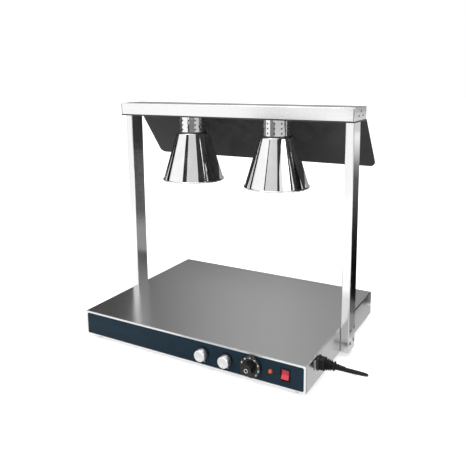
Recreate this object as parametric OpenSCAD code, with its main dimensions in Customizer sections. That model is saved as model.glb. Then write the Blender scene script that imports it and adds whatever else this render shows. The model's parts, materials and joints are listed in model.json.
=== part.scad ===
// Heated buffet station: a heated steel base that carries a lamp bar on two uprights,
// with two heat lamps and a smoked guard. Lengths are in millimetres, angles in degrees.
// X runs along the width, +Y towards the back, +Z up. The floor is at z = 0.

/* [Base] */
// Width of the base across its side skirts
base_w = 650; // [600:5:760]
// Depth of the base from the front panel to the back panel
base_d = 500; // [470:5:600]
// Height of the base body without its feet
base_h = 66; // [64:1:90]
// Thickness of the sheet steel of the base and the bar
sheet_t = 1.2; // [0.8:0.1:1.6]
// Outer radius of the folded edges
fold_r = 2.5; // [2.2:0.1:3.5]
// Gap along the seams between separate sheets
seam = 0.2; // [0.1:0.05:0.4]
// Height of the rubber feet
foot_h = 14; // [12:0.5:30]
// Diameter of the rubber feet
foot_d = 26; // [22:1:34]
// Distance of each foot's axis from the two edges beside it
foot_inset = 30; // [26:1:45]
// Length of the ventilation slots in the back panel and the bottom cover
slot_l = 26; // [14:1:36]
// Width of the ventilation slots
slot_w = 3; // [2:0.5:4]

/* [Heating stack] */
// Clear strip between the front panel and the element tray
tray_front = 96; // [90:1:130]
// Clear strip between the other walls and the element tray
tray_side = 46; // [42:1:70]
// Thickness of the heating mat
mat_t = 2; // [1:0.5:4]
// Thickness of the aluminium plate that presses the mat up
press_t = 1; // [0.5:0.5:2]
// Thickness of the insulation board
board_t = 18; // [10:1:20]
// Thickness of the tray's sheet
tray_t = 1; // [0.8:0.1:1.5]
// Width of the tray's rim flange
tray_rim = 12; // [10:1:18]

/* [Control panel] */
// Thickness of the printed overlay
overlay_t = 0.8; // [0.4:0.1:1.2]
// Bare steel left at each side of the overlay
overlay_side = 6; // [3:0.5:12]
// Bare steel left above the overlay
overlay_top = 5.5; // [3:0.5:8]
// Bare steel left below the overlay
overlay_low = 3.5; // [2:0.5:6]
// Corner radius of the overlay
overlay_r = 4; // [2:0.5:8]
// Distance of the thermostat's axis from the right edge of the base
dial_edge = 137; // [130:1:160]
// Distance between neighbouring knob axes
knob_pitch = 66; // [60:1:80]
// Distance from the thermostat's axis to the pilot lamp
pilot_pitch = 49.5; // [42:0.5:54]
// Distance from the pilot lamp to the rocker switch
rocker_pitch = 36.5; // [28:0.5:42]
// Diameter of the two lamp knobs
lamp_knob_d = 32; // [28:1:38]
// How far a lamp knob stands out from the overlay
lamp_knob_out = 20.5; // [17:0.5:26]
// Diameter of the thermostat's numbered dial
dial_d = 54; // [48:1:58]
// Diameter of the thermostat knob's grip
grip_d = 30; // [26:1:36]
// How far the thermostat knob stands out from the overlay
grip_out = 26.8; // [22:0.2:32]
// Running gap between a knob and the overlay
knob_gap = 1; // [0.6:0.1:1.5]
// Diameter of the spindles
spindle_d = 6; // [5:0.5:6.5]
// Radial clearance of a spindle in its bushing
spindle_fit = 0.05; // [0.03:0.01:0.1]
// Diameter of the threaded bushings
bushing_d = 9; // [8.4:0.2:10]
// Diameter of the pilot lamp's lens
pilot_d = 11; // [9:0.5:13]
// Width of the rocker switch's frame
rocker_w = 25; // [24:0.5:28]
// Height of the rocker switch's frame
rocker_h = 31; // [30:0.5:34]
// Angle that the rocker tips through
rocker_tip = 24; // [16:1:26]

/* [Mains inlet] */
// Distance of the inlet's axis from the front panel's face
inlet_back = 78; // [76:1:86]
// Distance of the inlet's axis below the top of the base
inlet_drop = 26; // [24:1:30]
// Distance of the fuse drawer's axis in front of the inlet's axis
fuse_step = 28; // [24:1:34]
// Distance of the fuse drawer's axis above the inlet's axis
fuse_rise = 6; // [0:1:8]

/* [Uprights] */
// Width of an upright seen from the front
upright_w = 22; // [20:1:30]
// Depth of an upright seen from the side
upright_d = 50; // [44:1:60]
// Wall of an upright
upright_wall = 1.5; // [1.2:0.1:2.5]
// Distance of the uprights' centre behind the middle of the base
upright_back = 2; // [-20:1:20]
// Height of the bar's lower edge above the bottom of the base
bar_rise = 590; // [520:5:640]

/* [Bar and guard] */
// How far the bar reaches past each upright
bar_over = 5; // [0:1:20]
// Depth of the bar
bar_d = 94; // [88:1:120]
// Height of the bar
bar_h = 32; // [30:1:45]
// Distance of the bar's centre behind the uprights' centre
bar_back = 8; // [0:1:12]
// Thickness of an end cap
cap_t = 1.5; // [1:0.1:2.5]
// Thickness of the smoked guard
guard_t = 4; // [3:0.5:6]
// Length of the guard's sloping skirt
guard_l = 160; // [110:5:190]
// Slope of the guard's skirt below the horizontal
guard_slope = 53.5; // [40:0.5:65]
// Inner radius of the guard's bend
guard_bend = 6; // [4:0.5:10]
// Radius of the guard's lower corners
guard_r = 16; // [8:1:40]

/* [Heat lamps] */
// Distance between the two lamp axes
lamp_pitch = 262; // [230:2:360]
// Distance of the lamp axes behind the uprights' centre
lamp_back = 4; // [-4:1:10]
// Diameter of the perforated neck
neck_d = 73; // [66:1:76]
// Height of the neck between the guard and the shade
neck_h = 45; // [42:1:60]
// Wall of the neck and the shade
shade_t = 1; // [0.8:0.1:1.5]
// Diameter of the shade at its shoulder
shade_top_d = 94; // [90:1:100]
// Diameter of the shade at its lower edge, inside the bead
shade_d = 169; // [160:1:190]
// Height of the shade
shade_h = 134; // [126:1:160]
// Radius of the rolled bead at the shade's rim
bead_r = 2.4; // [1.5:0.1:3.5]
// Diameter of the holes in the neck
hole_d = 4.5; // [3:0.5:6]
// Diameter of the reflector bulb's face
bulb_d = 121; // [100:1:122]
// Length of the bulb's glass
bulb_l = 98; // [90:1:104]

/* [Mains lead] */
// Diameter of the lead
cord_d = 7; // [6.4:0.1:7.2]
// Height of one layer of the put-away coil
layer_step = 7.6; // [7.6:0.1:9]
// Distance between neighbouring turns of the coil
turn_step = 7.6; // [7.6:0.1:9]
// Radius of the coil's innermost turn
coil_min_r = 28.5; // [28:0.5:32]

/* [Hidden] */

$fn = 48;
big_fn = 96;
eps = 0.01;
steel = "silver";
bright = "gainsboro";
black = "#1c1c1e";

// Places that several pieces share
screw_head = 1.6;
body_y = (overlay_t + grip_out - screw_head) / 2;
base_x = base_w / 2;
front_y = body_y - base_d / 2;
back_y = body_y + base_d / 2;
base_z = foot_h;
top_z = foot_h + base_h;
under_top = top_z - sheet_t;
floor_z = base_z + sheet_t;
overlay_y = front_y - overlay_t;
panel_back = front_y + sheet_t;
control_z = base_z + base_h / 2;

// Controls, from the thermostat outwards
dial_x = base_x - dial_edge;
right_knob_x = dial_x - knob_pitch;
left_knob_x = right_knob_x - knob_pitch;
pilot_x = dial_x + pilot_pitch;
rocker_x = pilot_x + rocker_pitch;

// Bushings, nuts and spindles, measured forwards from the overlay
nut_t = 2.4;
nut_r = 7.5;
nut_fit = 0.05;
hub_t = 5.4;
bushing_out = 4.5;
spindle_out = 14;
spindle_in = 12;
socket_fit = 0.02;
hole_fit = 0.2;
dimmer_size = 28;
dimmer_l = 20;
stat_r = 18;
stat_l = 24;
pilot_flange = 1.2;
pilot_l = 22;

// Dial and grip
dial_rim = 2;
dial_face = 7.6;
dial_plate = 2.4;
dial_hub_r = 9;
inlay_r = 5;
inlay_w = 1.6;
inlay_t = 0.5;

// Rocker switch
rocker_frame_t = 2;
rocker_wall = 1.3;
rocker_body_w = rocker_w - 2.6;
rocker_body_h = rocker_h - 3;
rocker_body_l = 20;
rocker_cell_w = rocker_body_w - 2 * rocker_wall;
rocker_cell_h = rocker_body_h - 2;
rocker_cell_l = 14;
rocker_pivot_in = 3.8;
rocker_side_gap = 0.3;
rocker_half = rocker_cell_h / 2 - 1.2;
rocker_lip = 5.2;
rocker_pin_r = 1.5;
rocker_pin_fit = 0.06;
rocker_pin_l = 1.1;

// Inlet, fuse drawer and connector, with the long side upright
inlet_y = front_y + inlet_back;
inlet_z = top_z - inlet_drop;
bezel_t = 2.5;
bezel_w = 24.5;
bezel_h = 31;
bezel_r = 3;
inlet_w = 20.4;
inlet_h = 27.4;
inlet_l = 22;
cell_w = 17;
cell_h = 24.6;
cell_l = 17;
cut_fit = 0.2;
pin_y_t = 2;
pin_z_w = 4;
pin_pitch = 7;
pin_offset = 3.5;
pin_tail = 8;
pin_front = 14;
fuse_y = inlet_y - fuse_step;
fuse_z = inlet_z + fuse_rise;
fuse_w = 8;
fuse_h = 22.6;
fuse_bezel_t = 1.2;
fuse_body_w = 6.8;
fuse_body_h = 21;
fuse_hole_w = fuse_body_w + 2 * cut_fit;
fuse_hole_h = fuse_body_h + 2 * cut_fit;
fuse_l = 18;
nose_w = 16.4;
nose_h = 24;
nose_l = 16;
plug_slot_fit = 0.3;
block_l = 14;
block_w = 20;
block_h = 28;
grip_l = 19;
collar_l = 3.5;
relief_l = 25;
connector_x = base_x + bezel_t;
exit_x = connector_x + block_l + grip_l + collar_l + relief_l;

// Base fittings
bracket_a = 30;
bracket_t = 2;
foot_hole_r = 2.3;
foot_screw_r = 2;
foot_screw_head_r = 4;
foot_screw_head_t = 2.4;
foot_sink = 5;
foot_x = base_x - foot_inset;
foot_front_y = front_y + foot_inset;
foot_back_y = back_y - foot_inset;
thread_fit = 0.05;
back_screw_r = 2;
back_screw_head_r = 3.8;
slot_pitch = 9;
slot_rows = 8;

// Heating stack
tray_x = base_x - tray_side;
tray_y0 = front_y + tray_front;
tray_y1 = back_y - tray_side;
pan_x = tray_x - tray_rim;
pan_y0 = tray_y0 + tray_rim;
pan_y1 = tray_y1 - tray_rim;
stack_gap = 0.5;
stack_t = mat_t + press_t + board_t;
pan_z = under_top - stack_t - tray_t;
stud_r = 2;
stud_l = 9;
stud_hole_fit = 0.3;
tray_nut_r = 4;
tray_nut_t = 3;
cutout_x = dial_x;
cutout_in = 60;
cutout_y = tray_y0 + cutout_in;
cutout_r = 8;
cutout_t = 9;
cutout_tab = 7;
sensor_r = 3;
sensor_l = 84;
sensor_ahead = 40;
capillary_r = 1;
sensor_back = 70;
sensor_y = front_y + sensor_back;
clip_w = 10;
clip_t = 0.8;

// Uprights and bar
upright_y = body_y + upright_back;
upright_mid = base_x + upright_w / 2;
bar_y = upright_y + bar_back;
bar_z = base_z + bar_rise;
upright_top = bar_z - guard_t;
upright_cap = 5;
upright_r = 2.5;
side_screw_r = 2.5;
side_screw_head_r = 4.4;
side_screw_head_t = 1.8;
side_screw_dy = 14;
side_screw_low = 22;
side_screw_high = 57;
wire_z = base_z + (side_screw_low + side_screw_high) / 2;
wire_r = 5;
plate_w = 44;
plate_h = 50;
plate_t = 3;
plate_past = 2;
bar_l = 2 * (base_x + upright_w + bar_over);
bar_inner_l = bar_l - 2 * cap_t;
end_plate_t = 3;
cap_screw_r = 1.5;
cap_screw_head_r = 2.8;
cap_screw_head_t = 1.2;
cap_screw_l = 7;
cap_screw_low = 11;
cap_screw_high = 22;
cap_screw_dy = 16;
bar_screw_l = 14;
guard_screw_r = 1.5;
guard_screw_head_r = 3;
guard_screw_head_t = 1.4;
guard_screw_in = 30;
guard_screw_x = base_x - guard_screw_in;
guard_screw_dy = 30;
bend_y = bar_y + bar_d / 2 - 2;
bend_z = bar_z - guard_t - guard_bend;

// Heat lamps
lamp_y = upright_y + lamp_back;
neck_r = neck_d / 2;
neck_top = upright_top;
shade_top = neck_top - neck_h;
shade_low = shade_top - shade_h;
neck_lip_r = neck_r + 3.5;
neck_fit = 0.3;
shoulder_r = 4;
nipple_r = 5;
nipple_bore_r = 3.6;
nipple_fit = 0.05;
nipple_in = 8;
nipple_up = 6;
nipple_nut_t = 4;
nipple_nut_r = 9;
holder_r = 20;
holder_l = 43;
cap_shell_r = 13.2;
cap_shell_l = 27;
cap_shell_fit = 0.3;
bulb_top = neck_top - shade_t - holder_l - 0.3;
hole_columns = 12;
hole_rows = 3;
hole_first = 9.5;
hole_pitch = 12.5;

// Mains lead. The route is a list of places chosen by hand, from the connector to the coil
cord_r = cord_d / 2;
cord_floor = 3.7;
route = [
    [390, -159, 54], [397, -159, 54], [409.2, -156.9, 52.7], [419.6, -151, 49.1],
    [426.6, -142.2, 43.7], [429, -131.7, 37.3], [427.6, -120.4, 30.3], [421.5, -106.1, 21.5],
    [409.5, -92.5, 13.2], [391, -81.9, 6.7], [368, -77.5, 4], [346, -77, cord_floor],
    [325, -76, cord_floor], [308, -73, cord_floor], [291, -67, cord_floor],
    [275, -57.5, cord_floor], [260, -45.5, cord_floor], [247, -31, cord_floor],
    [236.5, -14.5, cord_floor], [228, 3, cord_floor], [221, 21.5, cord_floor],
    [215, 40, cord_floor], [210, 59, cord_floor], [205.8, 78, cord_floor], [202.5, 97, cord_floor],
    [199.8, 116, cord_floor], [197.6, 135.5, cord_floor], [196.1, 155, cord_floor],
    [195.3, 175, cord_floor], [195, 203, cord_floor], [195, 235, cord_floor],
    [195, 265, cord_floor], [195, 294, 4.2], [195, 312, 4.6]
];
coil_z = 4.6;
coil_start = [195, 319];
coil_turns = 4.25;
coil_rings = 24;
coil_r_out = coil_min_r + turn_step * coil_turns / 2;
coil_x = coil_start[0] - coil_r_out;
coil_y = coil_start[1];
coil_out_z = coil_z + layer_step;
lead_y = coil_y + coil_r_out;
plug_r = 18;
plug_z = 18.2;
tail_l = 60;
plug_x = coil_x - tail_l;
plug_relief_l = 30;
plug_l = 36;
plug_pin_r = 2.4;
plug_pin_l = 19;
plug_pin_dz = 9.5;
tail = [
    [coil_x - cord_d, lead_y, coil_out_z], [coil_x - tail_l / 3, lead_y, 12.8],
    [coil_x - tail_l * 0.57, lead_y, 15.6], [coil_x - tail_l * 0.8, lead_y, 17.9],
    [coil_x - tail_l * 0.92, lead_y, plug_z], [plug_x, lead_y, plug_z]
];

// Shapes that repeat

// A U-shaped fold seen from its end, open below, with its upper corners rounded
module fold_outline(w, h, r) {
    translate([-w / 2, 0]) square([w, h - r]);
    translate([-w / 2 + r, h - r - eps]) square([w - 2 * r, r + eps]);
    for (s = [-1, 1]) translate([s * (w / 2 - r), h - r]) circle(r = r);
}

module fold_section(w, h, r, t) {
    difference() {
        fold_outline(w, h, r);
        translate([0, -t]) fold_outline(w - 2 * t, h, r - t);
    }
}

module rounded_rect(w, h, r) {
    square([w - 2 * r, h], center = true);
    square([w, h - 2 * r], center = true);
    for (x = [-1, 1], y = [-1, 1]) translate([x * (w / 2 - r), y * (h / 2 - r)]) circle(r = r);
}

// Places an outline drawn in X and Z, and gives it a length along Y from y0
module along_y(y0, l) {
    translate([0, y0 + l, 0]) rotate([90, 0, 0]) linear_extrude(height = l) children();
}

// Places an outline drawn in Y and Z, and gives it a length along X from x0
module along_x(x0, l) {
    translate([x0, 0, 0]) rotate([90, 0, 90]) linear_extrude(height = l) children();
}

// Turns a piece drawn along +Z so that it stands out of the control panel at [x, z]
module on_panel(x, z = control_z) {
    translate([x, overlay_y, z]) rotate([90, 0, 0]) children();
}

// Turns a piece drawn along +Z so that it stands out of the right side
module on_side(y, z, x = base_x) {
    translate([x, y, z]) rotate([0, 90, 0]) children();
}

module both_sides() {
    children();
    mirror([1, 0, 0]) children();
}

module at_lamps() {
    for (s = [-1, 1]) translate([s * lamp_pitch / 2, lamp_y, 0]) children();
}

module hex_nut(r, bore, t) {
    difference() {
        cylinder(h = t, r = r, $fn = 6);
        translate([0, 0, -1]) cylinder(h = t + 2, r = bore);
    }
}

// A screw along +Z: the head sits on z = 0 and the shank runs down to -l
module screw(r, l, head_r, head_t) {
    translate([0, 0, -l]) cylinder(h = l + eps, r = r);
    difference() {
        union() {
            cylinder(h = head_t * 0.6, r = head_r);
            translate([0, 0, head_t * 0.6 - eps])
                cylinder(h = head_t * 0.4 + eps, r1 = head_r, r2 = head_r * 0.7);
        }
        for (a = [0, 90]) rotate(a)
            translate([-head_r * 0.45, -0.4, head_t * 0.5]) cube([head_r * 0.9, 0.8, head_t]);
    }
}

function unit(v) = v / norm(v);
function heading(p, i) = unit(p[min(i + 1, len(p) - 1)] - p[max(i - 1, 0)]);
function ring(c, t, s, r, n) = let (u = cross(s, t))
    [for (k = [0 : n - 1]) c + r * (cos(360 * k / n) * s + sin(360 * k / n) * u)];

// Each ring's side direction, turned as little as possible from the ring before it
function sides(p, i, before) = let (
    t = heading(p, i),
    s = unit(before - (before * t) * t)
) concat([s], i + 1 < len(p) ? sides(p, i + 1, s) : []);

// A tube along a list of points, the first of which isn't straight above or below the second
module sweep(p, r, n = 8) {
    m = len(p);
    s = sides(p, 0, cross(heading(p, 0), [0, 0, 1]));
    points = [for (i = [0 : m - 1]) each ring(p[i], heading(p, i), s[i], r, n)];
    walls = [for (i = [0 : m - 2], k = [0 : n - 1]) let (
        a = i * n + k,
        b = i * n + (k + 1) % n
    ) each [[a, b, b + n], [a, b + n, a + n]]];
    first = [for (k = [1 : n - 2]) [0, k + 1, k]];
    last = [for (k = [1 : n - 2]) [(m - 1) * n, (m - 1) * n + k, (m - 1) * n + k + 1]];
    polyhedron(points, concat(walls, first, last), convexity = 10);
}

function path_length(p) = len(p) < 2 ? 0 : sum([for (i = [1 : len(p) - 1]) norm(p[i] - p[i - 1])]);
function sum(v, i = 0) = i < len(v) ? v[i] + sum(v, i + 1) : 0;

function arc(c, r, a0, a1, n) = [for (i = [0 : n]) let (a = a0 + (a1 - a0) * i / n) c + r * [cos(a), sin(a)]];

// Base

module side_screw_places() {
    for (y = [-1, 1], z = [side_screw_low, side_screw_high])
        translate([0, upright_y + y * side_screw_dy, base_z + z]) children();
}

module side_holes(x0, l, r) {
    side_screw_places() translate([x0, 0, 0]) rotate([0, 90, 0]) cylinder(h = l, r = r);
}

module wire_hole(x0, l) {
    translate([x0, upright_y, wire_z]) rotate([0, 90, 0]) cylinder(h = l, r = wire_r);
}

module top_shell() {
    color(steel)
    difference() {
        translate([0, 0, base_z]) along_y(front_y, base_d) fold_section(base_w, base_h, fold_r, sheet_t);
        both_sides() side_holes(base_x - sheet_t - 1, sheet_t + 2, side_screw_r + hole_fit);
        wire_hole(base_x - sheet_t - 1, sheet_t + 2);
        translate([base_x - sheet_t - 1, inlet_y - inlet_w / 2 - cut_fit, inlet_z - inlet_h / 2 - cut_fit])
            cube([sheet_t + 2, inlet_w + 2 * cut_fit, inlet_h + 2 * cut_fit]);
        translate([base_x - sheet_t - 1, fuse_y - fuse_hole_w / 2, fuse_z - fuse_hole_h / 2])
            cube([sheet_t + 2, fuse_hole_w, fuse_hole_h]);
    }
}

// The outline of a panel that closes the shell's open end
module end_outline() {
    translate([0, base_z]) fold_outline(base_w - 2 * sheet_t - 2 * seam, base_h - sheet_t - seam, fold_r);
}

module front_panel() {
    color(steel)
    difference() {
        along_y(front_y, sheet_t) end_outline();
        panel_holes(front_y - 1, sheet_t + 2);
    }
}

// The holes for the controls, through whatever lies between y0 and y0 + l
module panel_holes(y0, l) {
    along_y(y0, l) {
        for (x = [left_knob_x, right_knob_x, dial_x])
            translate([x, control_z]) circle(r = bushing_d / 2 + hole_fit);
        translate([pilot_x, control_z]) circle(r = pilot_d / 2 - 0.6 + hole_fit);
        translate([rocker_x, control_z])
            square([rocker_body_w + 2 * cut_fit, rocker_body_h + 2 * cut_fit], center = true);
    }
}

module control_overlay() {
    w = base_w - 2 * overlay_side;
    h = base_h - overlay_top - overlay_low;
    color("#2a3844")
    difference() {
        along_y(overlay_y, overlay_t)
            translate([0, base_z + overlay_low + h / 2]) rounded_rect(w, h, overlay_r);
        panel_holes(overlay_y - 1, overlay_t + 2);
    }
}

module slot_block(n, pitch) {
    for (i = [0 : n - 1]) translate([(i - (n - 1) / 2) * pitch, 0]) square([slot_w, slot_l], center = true);
}

module back_panel() {
    color(steel)
    difference() {
        along_y(back_y - sheet_t, sheet_t) end_outline();
        along_y(back_y - sheet_t - 1, sheet_t + 2)
            for (s = [-1, 1]) translate([s * base_w / 4, control_z]) slot_block(slot_rows, slot_pitch);
        back_screw_places() translate([0, 1, 0]) rotate([90, 0, 0])
            cylinder(h = sheet_t + 2, r = back_screw_r + hole_fit);
    }
}

module back_screw_places() {
    for (s = [-1, 1])
        translate([s * (base_x - bracket_a / 2 - sheet_t), back_y, floor_z + bracket_a / 2]) children();
}

module back_screws() {
    color(bright)
    back_screw_places() rotate([-90, 0, 0])
        screw(back_screw_r, sheet_t + bracket_t + 3, back_screw_head_r, screw_head);
}

module bottom_cover() {
    w = base_w - 2 * sheet_t - 2 * seam;
    d = base_d - 2 * sheet_t - 2 * seam;
    color(steel)
    translate([0, 0, base_z])
    linear_extrude(height = sheet_t)
    difference() {
        translate([-w / 2, body_y - d / 2]) square([w, d]);
        for (x = [-foot_x, foot_x], y = [foot_front_y, foot_back_y])
            translate([x, y]) circle(r = foot_screw_r + hole_fit);
        for (s = [-1, 1]) translate([s * base_w / 4, body_y]) slot_block(slot_rows, slot_pitch);
    }
}

// Three small walls that meet in a corner of the base: on the skirt, on the end panel and on the cover
module corner_bracket(end_y, inwards) {
    x = base_x - sheet_t;
    s = inwards;
    y0 = s > 0 ? end_y + sheet_t + seam : end_y - sheet_t - seam - bracket_a;
    wall_y = s > 0 ? y0 : y0 + bracket_a - bracket_t;
    difference() {
        union() {
            translate([x - bracket_a, y0, floor_z]) cube([bracket_a, bracket_a, bracket_t]);
            translate([x - bracket_t, y0, floor_z]) cube([bracket_t, bracket_a, bracket_a]);
            translate([x - bracket_a, wall_y, floor_z]) cube([bracket_a, bracket_t, bracket_a]);
        }
        translate([foot_x, s > 0 ? foot_front_y : foot_back_y, floor_z - 1])
            cylinder(h = bracket_t + 2, r = foot_screw_r + thread_fit);
        if (s < 0)
            translate([base_x - bracket_a / 2 - sheet_t, back_y, floor_z + bracket_a / 2])
                rotate([90, 0, 0]) cylinder(h = sheet_t + bracket_t + seam + 1, r = back_screw_r + thread_fit);
    }
}

module corner_brackets() {
    color("darkgray")
    both_sides() {
        corner_bracket(front_y, 1);
        corner_bracket(back_y, -1);
    }
}

module foot() {
    difference() {
        rotate_extrude(convexity = 4)
            polygon([
                [0, 0], [foot_d / 2 - 2.5, 0], [foot_d / 2 - 1.5, 1], [foot_d / 2, foot_h - 1.5],
                [foot_d / 2 - 1, foot_h], [0, foot_h]
            ]);
        translate([0, 0, -1]) cylinder(h = foot_sink + 1, r = foot_screw_head_r + 1);
        translate([0, 0, -1]) cylinder(h = foot_h + 2, r = foot_hole_r);
    }
}

module foot_places() {
    for (x = [-foot_x, foot_x], y = [foot_front_y, foot_back_y]) translate([x, y, 0]) children();
}

module feet() {
    color(black) foot_places() foot();
}

module foot_screws() {
    l = foot_h - foot_sink + sheet_t + bracket_t + 2;
    color(bright) foot_places() translate([0, 0, foot_sink]) mirror([0, 0, 1])
        screw(foot_screw_r, l, foot_screw_head_r, foot_screw_head_t);
}

// Heating stack

module stack_slab(z1, t) {
    translate([-pan_x + tray_t + stack_gap, pan_y0 + tray_t + stack_gap, z1 - t])
        cube([2 * (pan_x - tray_t - stack_gap), pan_y1 - pan_y0 - 2 * (tray_t + stack_gap), t]);
}

module heating_mat() {
    color("#b5482a") stack_slab(under_top, mat_t);
}

module press_plate() {
    color("lightgray") stack_slab(under_top - mat_t, press_t);
}

module insulation_board() {
    color("#d8d2c0") stack_slab(under_top - mat_t - press_t, board_t);
}

module stud_places() {
    for (x = [-1, 0, 1], y = [tray_y0 + tray_rim / 2, tray_y1 - tray_rim / 2])
        translate([x * (tray_x - tray_rim / 2), y, 0]) children();
}

module element_tray() {
    color("lightsteelblue")
    difference() {
        union() {
            translate([-tray_x, tray_y0, under_top - tray_t]) cube([2 * tray_x, tray_y1 - tray_y0, tray_t]);
            translate([-pan_x, pan_y0, pan_z]) cube([2 * pan_x, pan_y1 - pan_y0, under_top - pan_z]);
        }
        translate([-pan_x + tray_t, pan_y0 + tray_t, pan_z + tray_t])
            cube([2 * (pan_x - tray_t), pan_y1 - pan_y0 - 2 * tray_t, stack_t + 1]);
        stud_places() translate([0, 0, under_top - tray_t - 1])
            cylinder(h = tray_t + 2, r = stud_r + stud_hole_fit);
    }
}

module tray_studs() {
    color(bright) stud_places() translate([0, 0, under_top - stud_l]) cylinder(h = stud_l, r = stud_r);
}

module tray_nuts() {
    color("gold") stud_places() translate([0, 0, under_top - tray_t - tray_nut_t])
        hex_nut(tray_nut_r, stud_r + thread_fit, tray_nut_t);
}

module thermal_cutout() {
    color("#e9e4d4") translate([cutout_x, cutout_y, pan_z]) mirror([0, 0, 1]) {
        cylinder(h = cutout_t, r = cutout_r);
        translate([-cutout_r - 4, -4, 0]) cube([2 * cutout_r + 8, 8, 1.2]);
        for (s = [-1, 1]) translate([s * 4 - 0.4, -3, 0]) cube([0.8, 6, cutout_t + cutout_tab]);
    }
}

// Controls

// A bushing with its bore, from inside the body to in front of the overlay, drawn forwards along +Z
module bushing() {
    difference() {
        translate([0, 0, -overlay_t - sheet_t - eps])
            cylinder(h = bushing_out + overlay_t + sheet_t + eps, r = bushing_d / 2);
        spindle_bore();
    }
}

module spindle_bore() {
    translate([0, 0, -spindle_in - 1]) cylinder(h = spindle_in + spindle_out, r = spindle_d / 2 + spindle_fit);
}

module thermostat_body() {
    color("#cfcfcf") on_panel(dial_x) {
        bushing();
        difference() {
            union() {
                translate([0, 0, -overlay_t - sheet_t - stat_l]) cylinder(h = stat_l, r = stat_r);
                translate([-stat_r, -stat_r * 0.7, -overlay_t - sheet_t - stat_l * 0.6])
                    cube([2 * stat_r, stat_r * 1.4, stat_l * 0.6]);
            }
            spindle_bore();
        }
    }
}

// The sensor lies against the top plate in front of the tray, held by two saddle clips
module thermostat_sensor() {
    z = under_top - sensor_r - clip_t;
    x0 = dial_x - sensor_l - sensor_ahead;
    stat_back = panel_back + stat_l;
    w = wire_unit;
    color("peru") {
        translate([x0, sensor_y, z]) rotate([0, 90, 0]) cylinder(h = sensor_l, r = sensor_r);
        sweep([
            [x0 + sensor_l, sensor_y, z], [x0 + sensor_l + 2 * w, sensor_y, z],
            [dial_x - 1.2 * w, sensor_y - 0.2 * w, z - 0.1 * w], [dial_x - 0.3 * w, sensor_y - w, z - 0.5 * w],
            [dial_x, stat_back + w, control_z + w], [dial_x, stat_back, control_z + 0.8 * w]
        ], capillary_r);
    }
    color("silver")
    for (x = [x0 + 1.4 * w, x0 + sensor_l - 2.4 * w]) translate([x, sensor_y, 0]) difference() {
        union() {
            translate([0, 0, z]) rotate([0, 90, 0]) cylinder(h = clip_w, r = sensor_r + clip_t);
            translate([0, -10, under_top - clip_t]) cube([clip_w, 20, clip_t]);
        }
        translate([-1, 0, z]) rotate([0, 90, 0]) cylinder(h = clip_w + 2, r = sensor_r - 0.2);
    }
}

module spindle() {
    translate([0, 0, -spindle_in]) cylinder(h = spindle_in + spindle_out, r = spindle_d / 2);
}

module thermostat_spindle() {
    color(bright) on_panel(dial_x) spindle();
}

module thermostat_dial() {
    r = dial_d / 2;
    color(black) on_panel(dial_x) rotate_extrude(convexity = 4, $fn = big_fn)
        polygon([
            [dial_hub_r + socket_fit, dial_face - dial_plate], [r - dial_rim, dial_face - dial_plate],
            [r - dial_rim, knob_gap], [r, knob_gap], [r, dial_face - 1.6], [r - 1, dial_face - 0.8],
            [r - 9, dial_face], [dial_hub_r + socket_fit, dial_face]
        ]);
}

module thermostat_knob() {
    r = grip_d / 2;
    flutes = 12;
    color(black) on_panel(dial_x) difference() {
        rotate_extrude(convexity = 4, $fn = big_fn)
            polygon([
                [spindle_d / 2 + socket_fit, hub_t], [dial_hub_r, hub_t], [dial_hub_r, dial_face],
                [r, dial_face], [r - 0.8, grip_out - 2], [r - 1.4, grip_out - 0.7], [r - 2.6, grip_out],
                [inlay_r + socket_fit, grip_out], [inlay_r + socket_fit, grip_out - inlay_t],
                [0, grip_out - inlay_t], [0, spindle_out + 0.4], [spindle_d / 2 + socket_fit, spindle_out + 0.4]
            ]);
        for (i = [0 : flutes - 1]) rotate((i + 0.5) * 360 / flutes)
            translate([r + 1.4, 0, dial_face + 1.5]) cylinder(h = grip_out, r = 2.4, $fn = 24);
    }
}

module knob_inlay() {
    color("white") on_panel(dial_x) translate([0, 0, grip_out - inlay_t]) difference() {
        cylinder(h = inlay_t, r = inlay_r);
        translate([0, 0, -1]) cylinder(h = inlay_t + 2, r = inlay_r - inlay_w);
    }
}

module dimmer_bodies() {
    color("#3a3a3c") for (x = [left_knob_x, right_knob_x]) on_panel(x) {
        bushing();
        difference() {
            translate([-dimmer_size / 2, -dimmer_size / 2, -overlay_t - sheet_t - dimmer_l])
                cube([dimmer_size, dimmer_size, dimmer_l]);
            spindle_bore();
        }
    }
}

// A turned knob with a groove as its mark, which points down at rest
module lamp_knob() {
    r = lamp_knob_d / 2;
    bore = spindle_d / 2 + socket_fit;
    color(bright) difference() {
        rotate_extrude(convexity = 4, $fn = big_fn)
            polygon([
                [nut_r + 2, knob_gap], [r - 0.6, knob_gap], [r, knob_gap + 0.6], [r - 0.4, lamp_knob_out - 1.2],
                [r - 1.4, lamp_knob_out], [r - 3, lamp_knob_out], [r - 4, lamp_knob_out - 0.5],
                [0, lamp_knob_out - 0.5], [0, spindle_out + 0.4], [bore, spindle_out + 0.4], [bore, hub_t],
                [nut_r + 2, hub_t]
            ]);
        translate([-0.5, -r - 1, lamp_knob_out - 0.9]) cube([1, 6, 2]);
    }
}

module left_spindle() {
    color(bright) on_panel(left_knob_x) spindle();
}

module left_lamp_knob() {
    on_panel(left_knob_x) lamp_knob();
}

module right_spindle() {
    color(bright) on_panel(right_knob_x) spindle();
}

module right_lamp_knob() {
    on_panel(right_knob_x) lamp_knob();
}

module panel_nuts() {
    color("gold") {
        for (x = [left_knob_x, right_knob_x, dial_x])
            on_panel(x) hex_nut(nut_r, bushing_d / 2 + nut_fit, nut_t);
        translate([pilot_x, panel_back, control_z]) rotate([-90, 0, 0])
            hex_nut(pilot_d / 2 + 3, pilot_d / 2 - 0.6 + nut_fit, nut_t);
    }
}

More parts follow.
